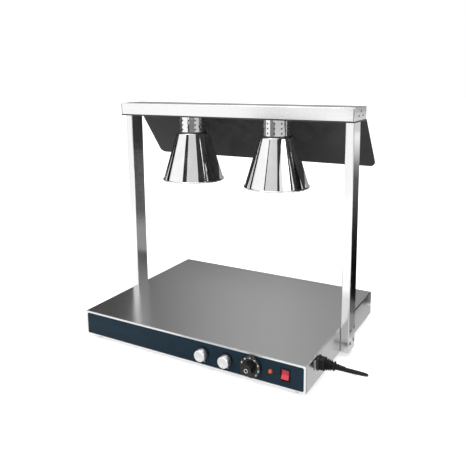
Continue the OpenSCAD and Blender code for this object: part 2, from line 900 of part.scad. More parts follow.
module pilot_body() {
    color("dimgray") on_panel(pilot_x) translate([0, 0, -overlay_t - sheet_t - pilot_l])
        cylinder(h = overlay_t + sheet_t + pilot_l, r = pilot_d / 2 - 0.6);
}

module pilot_lens() {
    r = pilot_d / 2;
    color("orangered") on_panel(pilot_x) rotate_extrude(convexity = 2)
        polygon(concat([[0, 0], [r, 0], [r, pilot_flange * 0.6], [r - 0.5, pilot_flange]],
            arc([0, pilot_flange], r - 0.5, 0, 90, 10)));
}

module rocker_housing() {
    color(black) on_panel(rocker_x) difference() {
        union() {
            linear_extrude(height = rocker_frame_t) rounded_rect(rocker_w, rocker_h, 2);
            translate([-rocker_body_w / 2, -rocker_body_h / 2, -rocker_body_l])
                cube([rocker_body_w, rocker_body_h, rocker_body_l + eps]);
        }
        translate([-rocker_cell_w / 2, -rocker_cell_h / 2, -rocker_cell_l])
            cube([rocker_cell_w, rocker_cell_h, rocker_cell_l + rocker_frame_t + 1]);
        translate([-rocker_body_w / 2 - 1, 0, -rocker_pivot_in]) rotate([0, 90, 0])
            cylinder(h = rocker_body_w + 2, r = rocker_pin_r + rocker_pin_fit);
    }
}

// The rocker's side view is a shallow V. At rest its upper half is pressed in
module rocker_button() {
    w = rocker_cell_w - 2 * rocker_side_gap;
    h = rocker_half;
    dip = h * tan(rocker_tip / 2);
    color("crimson")
    translate([rocker_x, overlay_y + rocker_pivot_in, control_z]) rotate([-rocker_tip / 2, 0, 0]) {
        along_x(-w / 2, w)
            polygon([
                [-rocker_lip, h], [dip - rocker_lip, 0], [-rocker_lip, -h], [2, -h + 1.2], [3.4, -3],
                [3.4, 3], [2, h - 1.2]
            ]);
        translate([-w / 2 - rocker_pin_l, 0, 0]) rotate([0, 90, 0])
            cylinder(h = w + 2 * rocker_pin_l, r = rocker_pin_r);
    }
}

// Mains inlet

// Where pin number i lies beside the inlet's axis, in Y and Z
function pin_place(i) = [i == 0 ? pin_offset : -pin_offset * 0.2, i * pin_pitch];

module pin_places() {
    for (i = [-1, 0, 1]) translate([0, pin_place(i)[0], pin_place(i)[1]]) children();
}

module mains_inlet() {
    color(black) difference() {
        union() {
            along_x(base_x, bezel_t) translate([inlet_y, inlet_z]) rounded_rect(bezel_w, bezel_h, bezel_r);
            translate([base_x - inlet_l, inlet_y - inlet_w / 2, inlet_z - inlet_h / 2])
                cube([inlet_l + eps, inlet_w, inlet_h]);
        }
        translate([connector_x - cell_l, inlet_y - cell_w / 2, inlet_z - cell_h / 2])
            cube([cell_l + 1, cell_w, cell_h]);
        translate([base_x - inlet_l, inlet_y, inlet_z]) pin_places()
            translate([-1, -pin_y_t / 2 - 0.05, -pin_z_w / 2 - 0.05])
                cube([inlet_l, pin_y_t + 0.1, pin_z_w + 0.1]);
    }
}

module inlet_pins() {
    x0 = base_x - inlet_l - pin_tail;
    color("gold") translate([x0, inlet_y, inlet_z]) pin_places()
        translate([0, -pin_y_t / 2, -pin_z_w / 2])
            cube([connector_x - cell_l + pin_front - x0, pin_y_t, pin_z_w]);
}

module fuse_drawer() {
    color(black) {
        along_x(base_x, fuse_bezel_t) translate([fuse_y, fuse_z]) rounded_rect(fuse_w, fuse_h, 1);
        translate([base_x - fuse_l, fuse_y - fuse_body_w / 2, fuse_z - fuse_body_h / 2])
            cube([fuse_l + eps, fuse_body_w, fuse_body_h]);
    }
}

// Wiring

term_side = 85;
term_back = 130;
term_x = base_x - term_side;
term_y = front_y + term_back;
term_l = 50;
term_w = 20;
term_h = 16;
term_step = 10;
term_z = floor_z + 8;
loom_z = floor_z + 5;
// The wires' bends are this many times this length
wire_unit = 10;
wire_thin = 1.4;
lamp_wire = 2;

module terminal_block() {
    pockets = 5;
    color("ivory") difference() {
        translate([term_x - term_l / 2, term_y - term_w / 2, floor_z]) cube([term_l, term_w, term_h]);
        for (i = [0 : pockets - 1], s = [-1, 1])
            translate([term_x + (i - 2) * term_step, term_y + s * 4.5, floor_z + term_h - 5])
                cylinder(h = 6, r = 2.2);
    }
}

// A wire from the back of a control at [x, y] to the terminal block's pocket number i
module control_wire(x, y, i) {
    w = wire_unit;
    end_x = term_x + (i - 2) * term_step;
    end_y = term_y - term_w / 2;
    lean = (end_x - x) / 20;
    sweep([
        [x, y, control_z], [x, y + 0.5 * w, control_z], [x + lean * 0.4, y + 1.5 * w, control_z - 0.9 * w],
        [x + lean, y + 2.1 * w, loom_z + 0.7 * w], [x + 2 * lean, y + 2.9 * w, loom_z],
        [end_x - lean, end_y - 2 * w, loom_z], [end_x, end_y - w, loom_z + 0.1 * w],
        [end_x, end_y - 0.4 * w, term_z], [end_x, end_y, term_z]
    ], wire_thin);
}

// A wire from the thermal cut-out's tab at x to the terminal block's pocket number i
module heater_wire(x, i) {
    w = wire_unit;
    end_x = term_x + (i - 2) * term_step;
    end_y = term_y + term_w / 2;
    z = pan_z - cutout_t - cutout_tab;
    far = cutout_y + 0.4 * w + 0.5 * w * i;
    sweep([
        [x, cutout_y, z], [x, cutout_y + 0.1 * w, z - 0.6 * w], [x + 0.5 * w, far, z - 1.2 * w],
        [x + 1.4 * w, far + 0.2 * w, term_z + 0.1 * w], [end_x - 0.5 * w, far - 0.1 * w, term_z],
        [end_x, far - 0.8 * w, term_z], [end_x, end_y, term_z]
    ], wire_thin);
}

// A wire from the inlet's pin number i to the end of the terminal block
module inlet_wire(i) {
    w = wire_unit;
    x = base_x - inlet_l - pin_tail;
    p = pin_place(i);
    y = inlet_y + p[0];
    z = inlet_z + p[1];
    end_x = term_x + term_l / 2;
    end_y = term_y - (0.2 + 0.4 * i) * w;
    sweep([
        [x, y, z], [x - 0.4 * w, y, z], [x - 0.8 * w, y + 0.1 * w, z - 0.2 * w],
        [x - 1.2 * w, y + 0.6 * w, z - 0.9 * w],
        [x - (1.6 - 0.1 * i) * w, end_y - 2.2 * w, loom_z + (1.4 + 0.4 * i) * w],
        [end_x + (1.1 + 0.1 * i) * w, end_y - 0.6 * w, loom_z + (0.7 + 0.1 * i) * w],
        [end_x + 0.6 * w, end_y, term_z], [end_x, end_y, term_z]
    ], wire_thin);
}

module base_loom() {
    color("#444448") {
        control_wire(left_knob_x, panel_back + dimmer_l, 0);
        control_wire(right_knob_x, panel_back + dimmer_l, 1);
        control_wire(dial_x, panel_back + stat_l, 2);
        control_wire(pilot_x, panel_back + pilot_l, 3);
        control_wire(rocker_x, overlay_y + rocker_body_l, 4);
        for (i = [-1, 0, 1]) inlet_wire(i);
        heater_wire(cutout_x - 4, 0);
        heater_wire(cutout_x + 4, 1);
    }
}

// The lamps' wires climb the right upright, run along the bar and drop into the nipples
module lamp_wires() {
    w = wire_unit;
    x0 = term_x + term_l / 2 - 0.4 * w;
    y0 = term_y + term_w / 2;
    x_in = base_x - sheet_t - plate_t - 1.4 * w;
    z1 = bar_z + bar_h / 2;
    low = neck_top - shade_t - nipple_in + 0.04 * w;
    color("#2a2a2c") for (s = [-1, 1]) {
        side_y = s * (lamp_wire + 0.4);
        y = upright_y + side_y;
        lamp_x = -s * lamp_pitch / 2;
        bar_wire_y = s < 0 ? y : upright_y + 1.4 * w;
        sweep([
            [x0 - side_y * 1.4, y0, term_z], [x0 - side_y * 1.4, y0 + 0.5 * w, term_z],
            [x0 - side_y * 1.4, y0 + 1.2 * w, term_z + 0.2 * w],
            [x0 + 1.2 * w - side_y * 1.4, (y0 + upright_y) / 2, wire_z - 1.4 * w],
            [x_in - 0.4 * w - side_y * 1.2, upright_y - 3 * w, wire_z - 0.2 * w],
            [x_in + 0.3 * w - side_y, y - 0.8 * w, wire_z], [x_in + 1.2 * w, y, wire_z],
            [upright_mid - 0.8 * w, y, wire_z], [upright_mid - 0.24 * w, y, wire_z + 0.24 * w],
            [upright_mid, y, wire_z + 0.8 * w], [upright_mid, y, z1 - 0.8 * w],
            [upright_mid - 0.24 * w, y, z1 - 0.24 * w], [upright_mid - 0.8 * w, y, z1],
            [upright_mid - 3 * w, bar_wire_y, z1], [lamp_x + 1.4 * w, bar_wire_y, z1],
            [lamp_x + 0.26 * w, lamp_y + (bar_wire_y - lamp_y) * 0.3, z1 - 0.16 * w],
            [lamp_x, lamp_y, z1 - 0.7 * w], [lamp_x, lamp_y, low]
        ], lamp_wire);
    }
}

// Uprights and bar

module upright() {
    difference() {
        translate([upright_mid, upright_y, base_z]) linear_extrude(height = upright_top - base_z)
            difference() {
                rounded_rect(upright_w, upright_d, upright_r);
                rounded_rect(upright_w - 2 * upright_wall, upright_d - 2 * upright_wall, upright_r - 1);
            }
        side_holes(base_x - 1, upright_w + 2, side_screw_r + hole_fit);
        wire_hole(base_x - 1, upright_w / 2);
    }
    difference() {
        translate([upright_mid, upright_y, upright_top - upright_cap]) linear_extrude(height = upright_cap)
            rounded_rect(upright_w - upright_wall, upright_d - upright_wall, upright_r - 1);
        translate([upright_mid, upright_y, upright_top - upright_cap - 1])
            cylinder(h = upright_cap + 2, r = wire_r);
        bar_screw_places() translate([0, 0, upright_top - upright_cap - 1])
            cylinder(h = upright_cap + 2, r = side_screw_r + thread_fit);
    }
}

module bar_screw_places() {
    for (s = [-1, 1]) translate([upright_mid, upright_y + s * side_screw_dy, 0]) children();
}

module uprights() {
    color(bright) both_sides() upright();
}

module backing_plates() {
    x0 = base_x - sheet_t - plate_t;
    z0 = base_z + (side_screw_low + side_screw_high) / 2 - plate_h / 2;
    color("darkgray") both_sides() difference() {
        translate([x0, upright_y - plate_w / 2, z0]) cube([plate_t, plate_w, plate_h - 6]);
        side_holes(x0 - 1, plate_t + 2, side_screw_r + thread_fit);
        wire_hole(x0 - 1, plate_t + 2);
    }
}

module upright_screws() {
    l = upright_w + sheet_t + plate_t + plate_past;
    color("whitesmoke") both_sides() side_screw_places()
        translate([base_x + upright_w, 0, 0]) rotate([0, 90, 0])
            screw(side_screw_r, l, side_screw_head_r, side_screw_head_t);
}

module bar_housing() {
    color(bright) along_x(-bar_inner_l / 2, bar_inner_l) translate([bar_y, bar_z])
        fold_section(bar_d, bar_h, fold_r, sheet_t);
}

module lamp_holes(r) {
    for (s = [-1, 1]) translate([s * lamp_pitch / 2, lamp_y]) circle(r = r);
}

module guard_screw_places() {
    for (x = [-1, 1], y = [-1, 1]) translate([x * guard_screw_x, bar_y + y * guard_screw_dy, 0]) children();
}

module bar_bottom() {
    w = bar_d - 2 * sheet_t - 2 * seam;
    l = bar_inner_l - 2 * seam;
    color(steel) difference() {
        translate([-l / 2, bar_y - w / 2, bar_z]) cube([l, w, sheet_t]);
        translate([0, 0, bar_z - 1]) linear_extrude(height = sheet_t + 2) lamp_holes(nipple_r + hole_fit);
        translate([upright_mid, upright_y, bar_z - 1]) cylinder(h = sheet_t + 2, r = wire_r);
        both_sides() bar_screw_places() translate([0, 0, bar_z - 1])
            cylinder(h = sheet_t + 2, r = side_screw_r + hole_fit);
        guard_screw_places() translate([0, 0, bar_z - 1])
            cylinder(h = sheet_t + 2, r = guard_screw_r + thread_fit);
    }
}

module cap_screw_places() {
    for (p = [[-cap_screw_dy, cap_screw_low], [cap_screw_dy, cap_screw_low], [0, cap_screw_high]])
        translate([0, bar_y + p[0], bar_z + p[1]]) children();
}

module end_plates() {
    x0 = bar_inner_l / 2 - end_plate_t;
    z0 = sheet_t + seam;
    color("darkgray") both_sides() difference() {
        along_x(x0, end_plate_t) translate([bar_y, bar_z + z0])
            fold_outline(bar_d - 2 * sheet_t - 2 * seam, bar_h - sheet_t - seam - z0, fold_r);
        cap_screw_places() translate([x0 - 1, 0, 0]) rotate([0, 90, 0])
            cylinder(h = end_plate_t + 2, r = cap_screw_r + thread_fit);
    }
}

module end_caps() {
    color("whitesmoke") both_sides() difference() {
        along_x(bar_inner_l / 2, cap_t) translate([bar_y, bar_z]) fold_outline(bar_d, bar_h, fold_r);
        cap_screw_places() translate([bar_inner_l / 2 - 1, 0, 0]) rotate([0, 90, 0])
            cylinder(h = cap_t + 2, r = cap_screw_r + hole_fit);
    }
}

module end_cap_screws() {
    color("dimgray") both_sides() cap_screw_places() translate([bar_l / 2, 0, 0]) rotate([0, 90, 0])
        screw(cap_screw_r, cap_screw_l, cap_screw_head_r, cap_screw_head_t);
}

module bar_screws() {
    color(bright) both_sides() bar_screw_places() translate([0, 0, bar_z + sheet_t])
        screw(side_screw_r, bar_screw_l, side_screw_head_r, side_screw_head_t);
}

// The guard is one bent sheet: a flange under the bar, a bend and a sloping skirt
module guard_outline() {
    reach = 3 * (guard_bend + guard_t);
    y0 = bar_y - bar_d / 2;
    translate([y0, bar_z - guard_t]) square([bend_y - y0, guard_t]);
    translate([bend_y, bend_z]) {
        intersection() {
            difference() {
                circle(r = guard_bend + guard_t);
                circle(r = guard_bend);
            }
            polygon([[0, 0], [0, reach], [reach * sin(guard_slope), reach * cos(guard_slope)]]);
        }
        rotate(-guard_slope) translate([0, guard_bend]) square([guard_l, guard_t]);
    }
}

// What rounds one lower corner of the skirt, in the skirt's own plane
module guard_corner() {
    difference() {
        translate([-guard_r, -guard_r]) square([guard_r + 1, guard_r + 1]);
        translate([-guard_r, -guard_r]) circle(r = guard_r);
    }
}

module guard() {
    color("#323234") difference() {
        along_x(-bar_l / 2, bar_l) guard_outline();
        for (s = [-1, 1]) translate([0, bend_y, bend_z]) rotate([-guard_slope, 0, 0])
            translate([s * bar_l / 2, guard_l, guard_bend - 1]) linear_extrude(height = guard_t + 2)
                mirror([s < 0 ? 1 : 0, 0]) guard_corner();
        translate([0, 0, bar_z - guard_t - 1]) linear_extrude(height = guard_t + 2)
            lamp_holes(nipple_r + hole_fit);
        translate([upright_mid, upright_y, bar_z - guard_t - 1]) cylinder(h = guard_t + 2, r = wire_r);
        both_sides() bar_screw_places() translate([0, 0, bar_z - guard_t - 1])
            cylinder(h = guard_t + 2, r = side_screw_r + hole_fit);
        guard_screw_places() translate([0, 0, bar_z - guard_t - 1])
            cylinder(h = guard_t + 2, r = guard_screw_r + hole_fit);
    }
}

module guard_screws() {
    color(bright) guard_screw_places() translate([0, 0, upright_top]) mirror([0, 0, 1])
        screw(guard_screw_r, guard_t + sheet_t + 3, guard_screw_head_r, guard_screw_head_t);
}

// Heat lamps

module lamp_nipples() {
    low = neck_top - shade_t - nipple_in;
    color("gold") at_lamps() translate([0, 0, low]) difference() {
        cylinder(h = bar_z + sheet_t + nipple_up - low, r = nipple_r);
        translate([0, 0, -1]) cylinder(h = bar_z + sheet_t + nipple_up - low + 2, r = nipple_bore_r);
    }
}

module nipple_nuts() {
    color("silver") at_lamps() translate([0, 0, bar_z + sheet_t])
        hex_nut(nipple_nut_r, nipple_r + nipple_fit, nipple_nut_t);
}

// A cup with its closed end up. A lip at its lower edge carries the shade
module lamp_neck() {
    lip_z = shade_top - shade_t;
    difference() {
        rotate_extrude(convexity = 6, $fn = big_fn)
            polygon([
                [nipple_r + hole_fit, neck_top - shade_t], [neck_r - shade_t, neck_top - shade_t],
                [neck_r - shade_t, lip_z - shade_t], [neck_lip_r, lip_z - shade_t], [neck_lip_r, lip_z],
                [neck_r, lip_z], [neck_r, neck_top], [nipple_r + hole_fit, neck_top]
            ]);
        for (row = [0 : hole_rows - 1], column = [0 : hole_columns - 1]) rotate(column * 360 / hole_columns)
            translate([neck_r - shade_t - 2, 0, neck_top - hole_first - row * hole_pitch])
                rotate([0, 90, 0]) cylinder(h = shade_t + 4, r = hole_d / 2);
    }
}

module lamp_necks() {
    color(bright) at_lamps() lamp_neck();
}

module lamp_holders() {
    top = neck_top - shade_t;
    cup = holder_l - nipple_in - 2;
    color("ivory") at_lamps() rotate_extrude(convexity = 6)
        polygon([
            [nipple_r + nipple_fit, top], [holder_r - 3, top], [holder_r, top - 3],
            [holder_r, top - holder_l * 0.7],
            [holder_r - 2, top - holder_l * 0.75], [holder_r - 2, top - holder_l],
            [cap_shell_r + cap_shell_fit, top - holder_l], [cap_shell_r + cap_shell_fit, top - holder_l + cup],
            [nipple_r + nipple_fit, top - holder_l + cup]
        ]);
}

module bulb_caps() {
    color("goldenrod") at_lamps() translate([0, 0, bulb_top]) {
        cylinder(h = cap_shell_l, r = cap_shell_r);
        translate([0, 0, cap_shell_l - eps]) cylinder(h = 2.5, r1 = 9, r2 = 5);
    }
}

// A reflector bulb: a narrow neck that opens into a wide bowl with a gently domed face
module bulb_glasses() {
    r = bulb_d / 2;
    color([0.95, 0.95, 0.9]) at_lamps() translate([0, 0, bulb_top]) rotate_extrude(convexity = 4, $fn = big_fn)
        polygon([
            [0, 0], [15.5, 0], [17, -6], [20, -12], [r * 0.5, -bulb_l * 0.27], [r * 0.72, -bulb_l * 0.43],
            [r * 0.88, -bulb_l * 0.58], [r * 0.97, -bulb_l * 0.72], [r, -bulb_l * 0.8], [r, -bulb_l * 0.9],
            [r * 0.97, -bulb_l * 0.94], [r * 0.6, -bulb_l * 0.985], [0, -bulb_l]
        ]);
}

// A cone with a flat shoulder that hangs on the neck's lip, and a rolled bead at its rim
module lamp_shade() {
    r0 = shade_top_d / 2;
    r1 = shade_d / 2;
    z0 = shade_low + bead_r;
    inner = neck_r + neck_fit;
    rotate_extrude(convexity = 6, $fn = big_fn) {
        polygon(concat(
            [[inner, shade_top]], arc([r0 - shoulder_r, shade_top - shoulder_r], shoulder_r, 90, 0, 6),
            [[r1, z0], [r1 - shade_t, z0]],
            arc([r0 - shoulder_r, shade_top - shoulder_r], shoulder_r - shade_t, 0, 90, 6),
            [[inner, shade_top - shade_t]]
        ));
        translate([r1 - shade_t + bead_r * 0.8, z0]) circle(r = bead_r, $fn = 32);
    }
}

module lamp_shades() {
    color(bright) at_lamps() lamp_shade();
}

// Mains lead

// One length of the connector's moulding, an oblong block along +X
module moulded(x0, l, w, h, r) {
    along_x(x0, l) translate([inlet_y, inlet_z]) rounded_rect(w, h, r);
}

module mains_connector() {
    relief_x = exit_x - relief_l;
    ribs = 5;
    color(black) {
        difference() {
            translate([connector_x - nose_l, inlet_y - nose_w / 2, inlet_z - nose_h / 2])
                cube([nose_l + eps, nose_w, nose_h]);
            translate([0, inlet_y, inlet_z]) pin_places()
                translate([connector_x - cell_l, -pin_y_t / 2 - plug_slot_fit, -pin_z_w / 2 - plug_slot_fit])
                    cube([pin_front + 0.6, pin_y_t + 2 * plug_slot_fit, pin_z_w + 2 * plug_slot_fit]);
        }
        moulded(connector_x, block_l, block_w, block_h, 3);
        moulded(connector_x + block_l - eps, 2.5, block_w - 5, block_h - 9, 3);
        for (i = [0 : 2])
            moulded(connector_x + block_l + 2 + i * 4.5, 3, block_w - 2 - i, block_h - 4.5 - 1.5 * i, 4);
        moulded(connector_x + block_l, grip_l, block_w - 6, block_h - 11.5, 4);
        moulded(connector_x + block_l + grip_l - eps, collar_l, block_w - 2, block_h - 8, 5);
        on_side(inlet_y, inlet_z, relief_x - eps) {
            cylinder(h = relief_l + eps, r1 = cord_r + 1.9, r2 = cord_r + 0.9);
            for (i = [0 : ribs - 1])
                translate([0, 0, 2 + i * 4.6]) cylinder(h = 2.2, r = cord_r + 3 - i * 0.35);
        }
    }
}

module cord_free() {
    color(black) {
        sweep(concat([[exit_x, inlet_y, inlet_z]], [for (i = [1 : len(route) - 1]) route[i]]), cord_r, 8);
        sweep(tail, cord_r, 8);
    }
}

// The coil winds inwards on its lower layer and outwards on its upper one. It climbs in the
// half turn where it reverses
function coil_radius(a) = coil_min_r + turn_step * abs(a - 180 * coil_turns) / 360;
function coil_height(a) = coil_z + layer_step * min(1, max(0, (a - 180 * coil_turns + 90) / 180));
function coil_point(a) = [coil_x + coil_radius(a) * cos(a), coil_y + coil_radius(a) * sin(a), coil_height(a)];
coil_steps = coil_turns * coil_rings;
coil_turn_points = [for (i = [1 : coil_steps - 1]) coil_point(i * 360 / coil_rings)];
coil_points = concat(
    [[coil_start[0], coil_y - cord_d, coil_z], [coil_start[0], coil_y, coil_z]],
    coil_turn_points,
    [[coil_x, lead_y, coil_out_z], [coil_x - cord_d, lead_y, coil_out_z]]
);
coil_gap = min([for (i = [0 : len(coil_points) - 1], j = [i + coil_rings / 2 : 1 : len(coil_points) - 1])
    norm(coil_points[i] - coil_points[j])]) - cord_d;

module cord_coil() {
    color(black) sweep(coil_points, cord_r, 6);
}

module mains_plug() {
    ribs = 5;
    color(black) translate([plug_x, lead_y, plug_z]) rotate([0, -90, 0]) {
        cylinder(h = plug_relief_l + eps, r1 = cord_r + 0.9, r2 = cord_r + 3);
        for (i = [0 : ribs - 1]) translate([0, 0, 3 + i * 5]) cylinder(h = 2.4, r = cord_r + 2 + i * 0.4);
        translate([0, 0, plug_relief_l]) {
            cylinder(h = 8 + eps, r1 = plug_r - 6, r2 = plug_r);
            translate([0, 0, 8]) cylinder(h = plug_l - 8, r = plug_r);
        }
    }
    color("gold") for (s = [-1, 1])
        translate([plug_x - plug_relief_l - plug_l + eps, lead_y, plug_z + s * plug_pin_dz]) rotate([0, -90, 0])
            cylinder(h = plug_pin_l, r = plug_pin_r);
}

echo(coil_least_gap = coil_gap);
echo(coil_length = path_length(coil_points));
echo(free_length = path_length(route) + path_length(tail));

top_shell();
front_panel();
control_overlay();
back_panel();
back_screws();
bottom_cover();
corner_brackets();
feet();
foot_screws();
heating_mat();
press_plate();
insulation_board();
element_tray();
tray_studs();
tray_nuts();
thermal_cutout();
thermostat_body();
thermostat_sensor();
thermostat_spindle();
thermostat_dial();
thermostat_knob();
knob_inlay();
dimmer_bodies();
left_spindle();
left_lamp_knob();
right_spindle();
right_lamp_knob();
panel_nuts();
pilot_body();
pilot_lens();
rocker_housing();
rocker_button();
mains_inlet();
inlet_pins();
fuse_drawer();
terminal_block();
base_loom();
lamp_wires();
uprights();
backing_plates();
upright_screws();
bar_housing();
bar_bottom();
end_plates();
end_caps();
end_cap_screws();
bar_screws();
guard();
guard_screws();
lamp_nipples();
nipple_nuts();
lamp_necks();
lamp_holders();
bulb_caps();
bulb_glasses();
lamp_shades();
mains_connector();
cord_free();
cord_coil();
mains_plug();
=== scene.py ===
"""Heated buffet station: the looks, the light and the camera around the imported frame."""

import json
import logging
import math
from dataclasses import dataclass, field
from enum import Enum
from typing import Callable, Iterable, Optional, Sequence, Union

import bmesh
import bpy
from mathutils import Matrix, Vector


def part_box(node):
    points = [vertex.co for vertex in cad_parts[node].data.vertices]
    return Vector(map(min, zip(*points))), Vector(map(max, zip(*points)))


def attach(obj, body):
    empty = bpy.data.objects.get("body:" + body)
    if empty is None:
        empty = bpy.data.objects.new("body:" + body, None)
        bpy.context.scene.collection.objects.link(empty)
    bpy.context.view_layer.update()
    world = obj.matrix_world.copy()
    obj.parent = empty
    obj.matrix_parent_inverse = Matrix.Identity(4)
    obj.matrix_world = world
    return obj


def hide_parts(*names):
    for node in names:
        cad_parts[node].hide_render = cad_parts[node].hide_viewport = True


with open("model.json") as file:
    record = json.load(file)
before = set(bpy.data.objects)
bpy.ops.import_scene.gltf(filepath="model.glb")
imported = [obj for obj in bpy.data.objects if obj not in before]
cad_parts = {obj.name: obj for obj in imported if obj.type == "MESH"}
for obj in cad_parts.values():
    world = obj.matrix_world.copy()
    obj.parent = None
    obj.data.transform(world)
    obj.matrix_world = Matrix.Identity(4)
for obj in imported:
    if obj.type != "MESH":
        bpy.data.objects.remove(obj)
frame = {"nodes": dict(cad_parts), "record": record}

log = logging.getLogger("station")
logging.basicConfig(level=logging.INFO, format="%(name)s: %(message)s")

MM = 0.001
TOUCH = 1e-6  # places this close, in metres, count as one
PROUD = 0.06 * MM  # how far a printed or inlaid mark stands out
Colour = tuple[float, float, float]
Place = Sequence[float]
Material = bpy.types.Material


def mm(points: Iterable[Place]) -> list[tuple[float, ...]]:
    """Points given in millimetres, in metres."""
    return [tuple(value * MM for value in point) for point in points]


def toned(colour: Colour, factor: float, lift: float = 0.0) -> Colour:
    """A colour made darker or paler by a factor and a lift."""
    return tuple(min(1.0, value * factor + lift) for value in colour)


def only(geometry: Iterable, kind: type) -> list:
    """The vertices, edges or faces among an operator's results."""
    return [item for item in geometry if isinstance(item, kind)]


class Axis(Enum):
    """The three directions of the frame."""

    X = Vector((1.0, 0.0, 0.0))
    Y = Vector((0.0, 1.0, 0.0))
    Z = Vector((0.0, 0.0, 1.0))


class Body(Enum):
    """The bodies that a piece can ride on."""

    STATION = "station"
    LEFT_DIMMER = "left_dimmer"
    RIGHT_DIMMER = "right_dimmer"
    THERMOSTAT = "thermostat"
    ROCKER = "rocker"


# ---------------------------------------------------------------- shader maths


class Sock:
    """A shader socket or number that can be used in plain expressions."""

    def __init__(self, graph: "Graph", value: object) -> None:
        """Keeps the socket.

        Args:
            graph: the node tree that the socket belongs to.
            value: an output socket of that tree.
        """
        self.graph = graph
        self.value = value

    def _math(self, operation: str, first: object, second: object) -> "Sock":
        """Adds one Math node.

        Args:
            operation: the Math node's operation.
            first: its first value or socket.
            second: its second value or socket.

        Returns:
            The node's output.
        """
        return self.graph.node("ShaderNodeMath", {"operation": operation}, {0: first, 1: second})

    def __add__(self, other: object) -> "Sock":
        """Sum."""
        return self._math("ADD", self, other)

    __radd__ = __add__

    def __sub__(self, other: object) -> "Sock":
        """Difference."""
        return self._math("SUBTRACT", self, other)

    def __rsub__(self, other: object) -> "Sock":
        """Difference from a number."""
        return self._math("SUBTRACT", other, self)

    def __mul__(self, other: object) -> "Sock":
        """Product."""
        return self._math("MULTIPLY", self, other)

    __rmul__ = __mul__

    def __truediv__(self, other: object) -> "Sock":
        """Quotient."""
        return self._math("DIVIDE", self, other)

    def __rtruediv__(self, other: object) -> "Sock":
        """Quotient of a number."""
        return self._math("DIVIDE", other, self)

    def __pow__(self, other: object) -> "Sock":
        """Power."""
        return self._math("POWER", self, other)

    def sine(self) -> "Sock":
        """Sine of the value."""
        return self._math("SINE", self, 0.0)

    def ramp(self, low: float, high: float) -> "Sock":
        """Rises smoothly from 0 at low to 1 at high.

        Args:
            low: the value that gives 0.
            high: the value that gives 1.

        Returns:
            The smooth step.
        """
        settings = {"interpolation_type": "SMOOTHSTEP"}
        return self.graph.node("ShaderNodeMapRange", settings, {0: self, 1: low, 2: high, 3: 0.0, 4: 1.0})


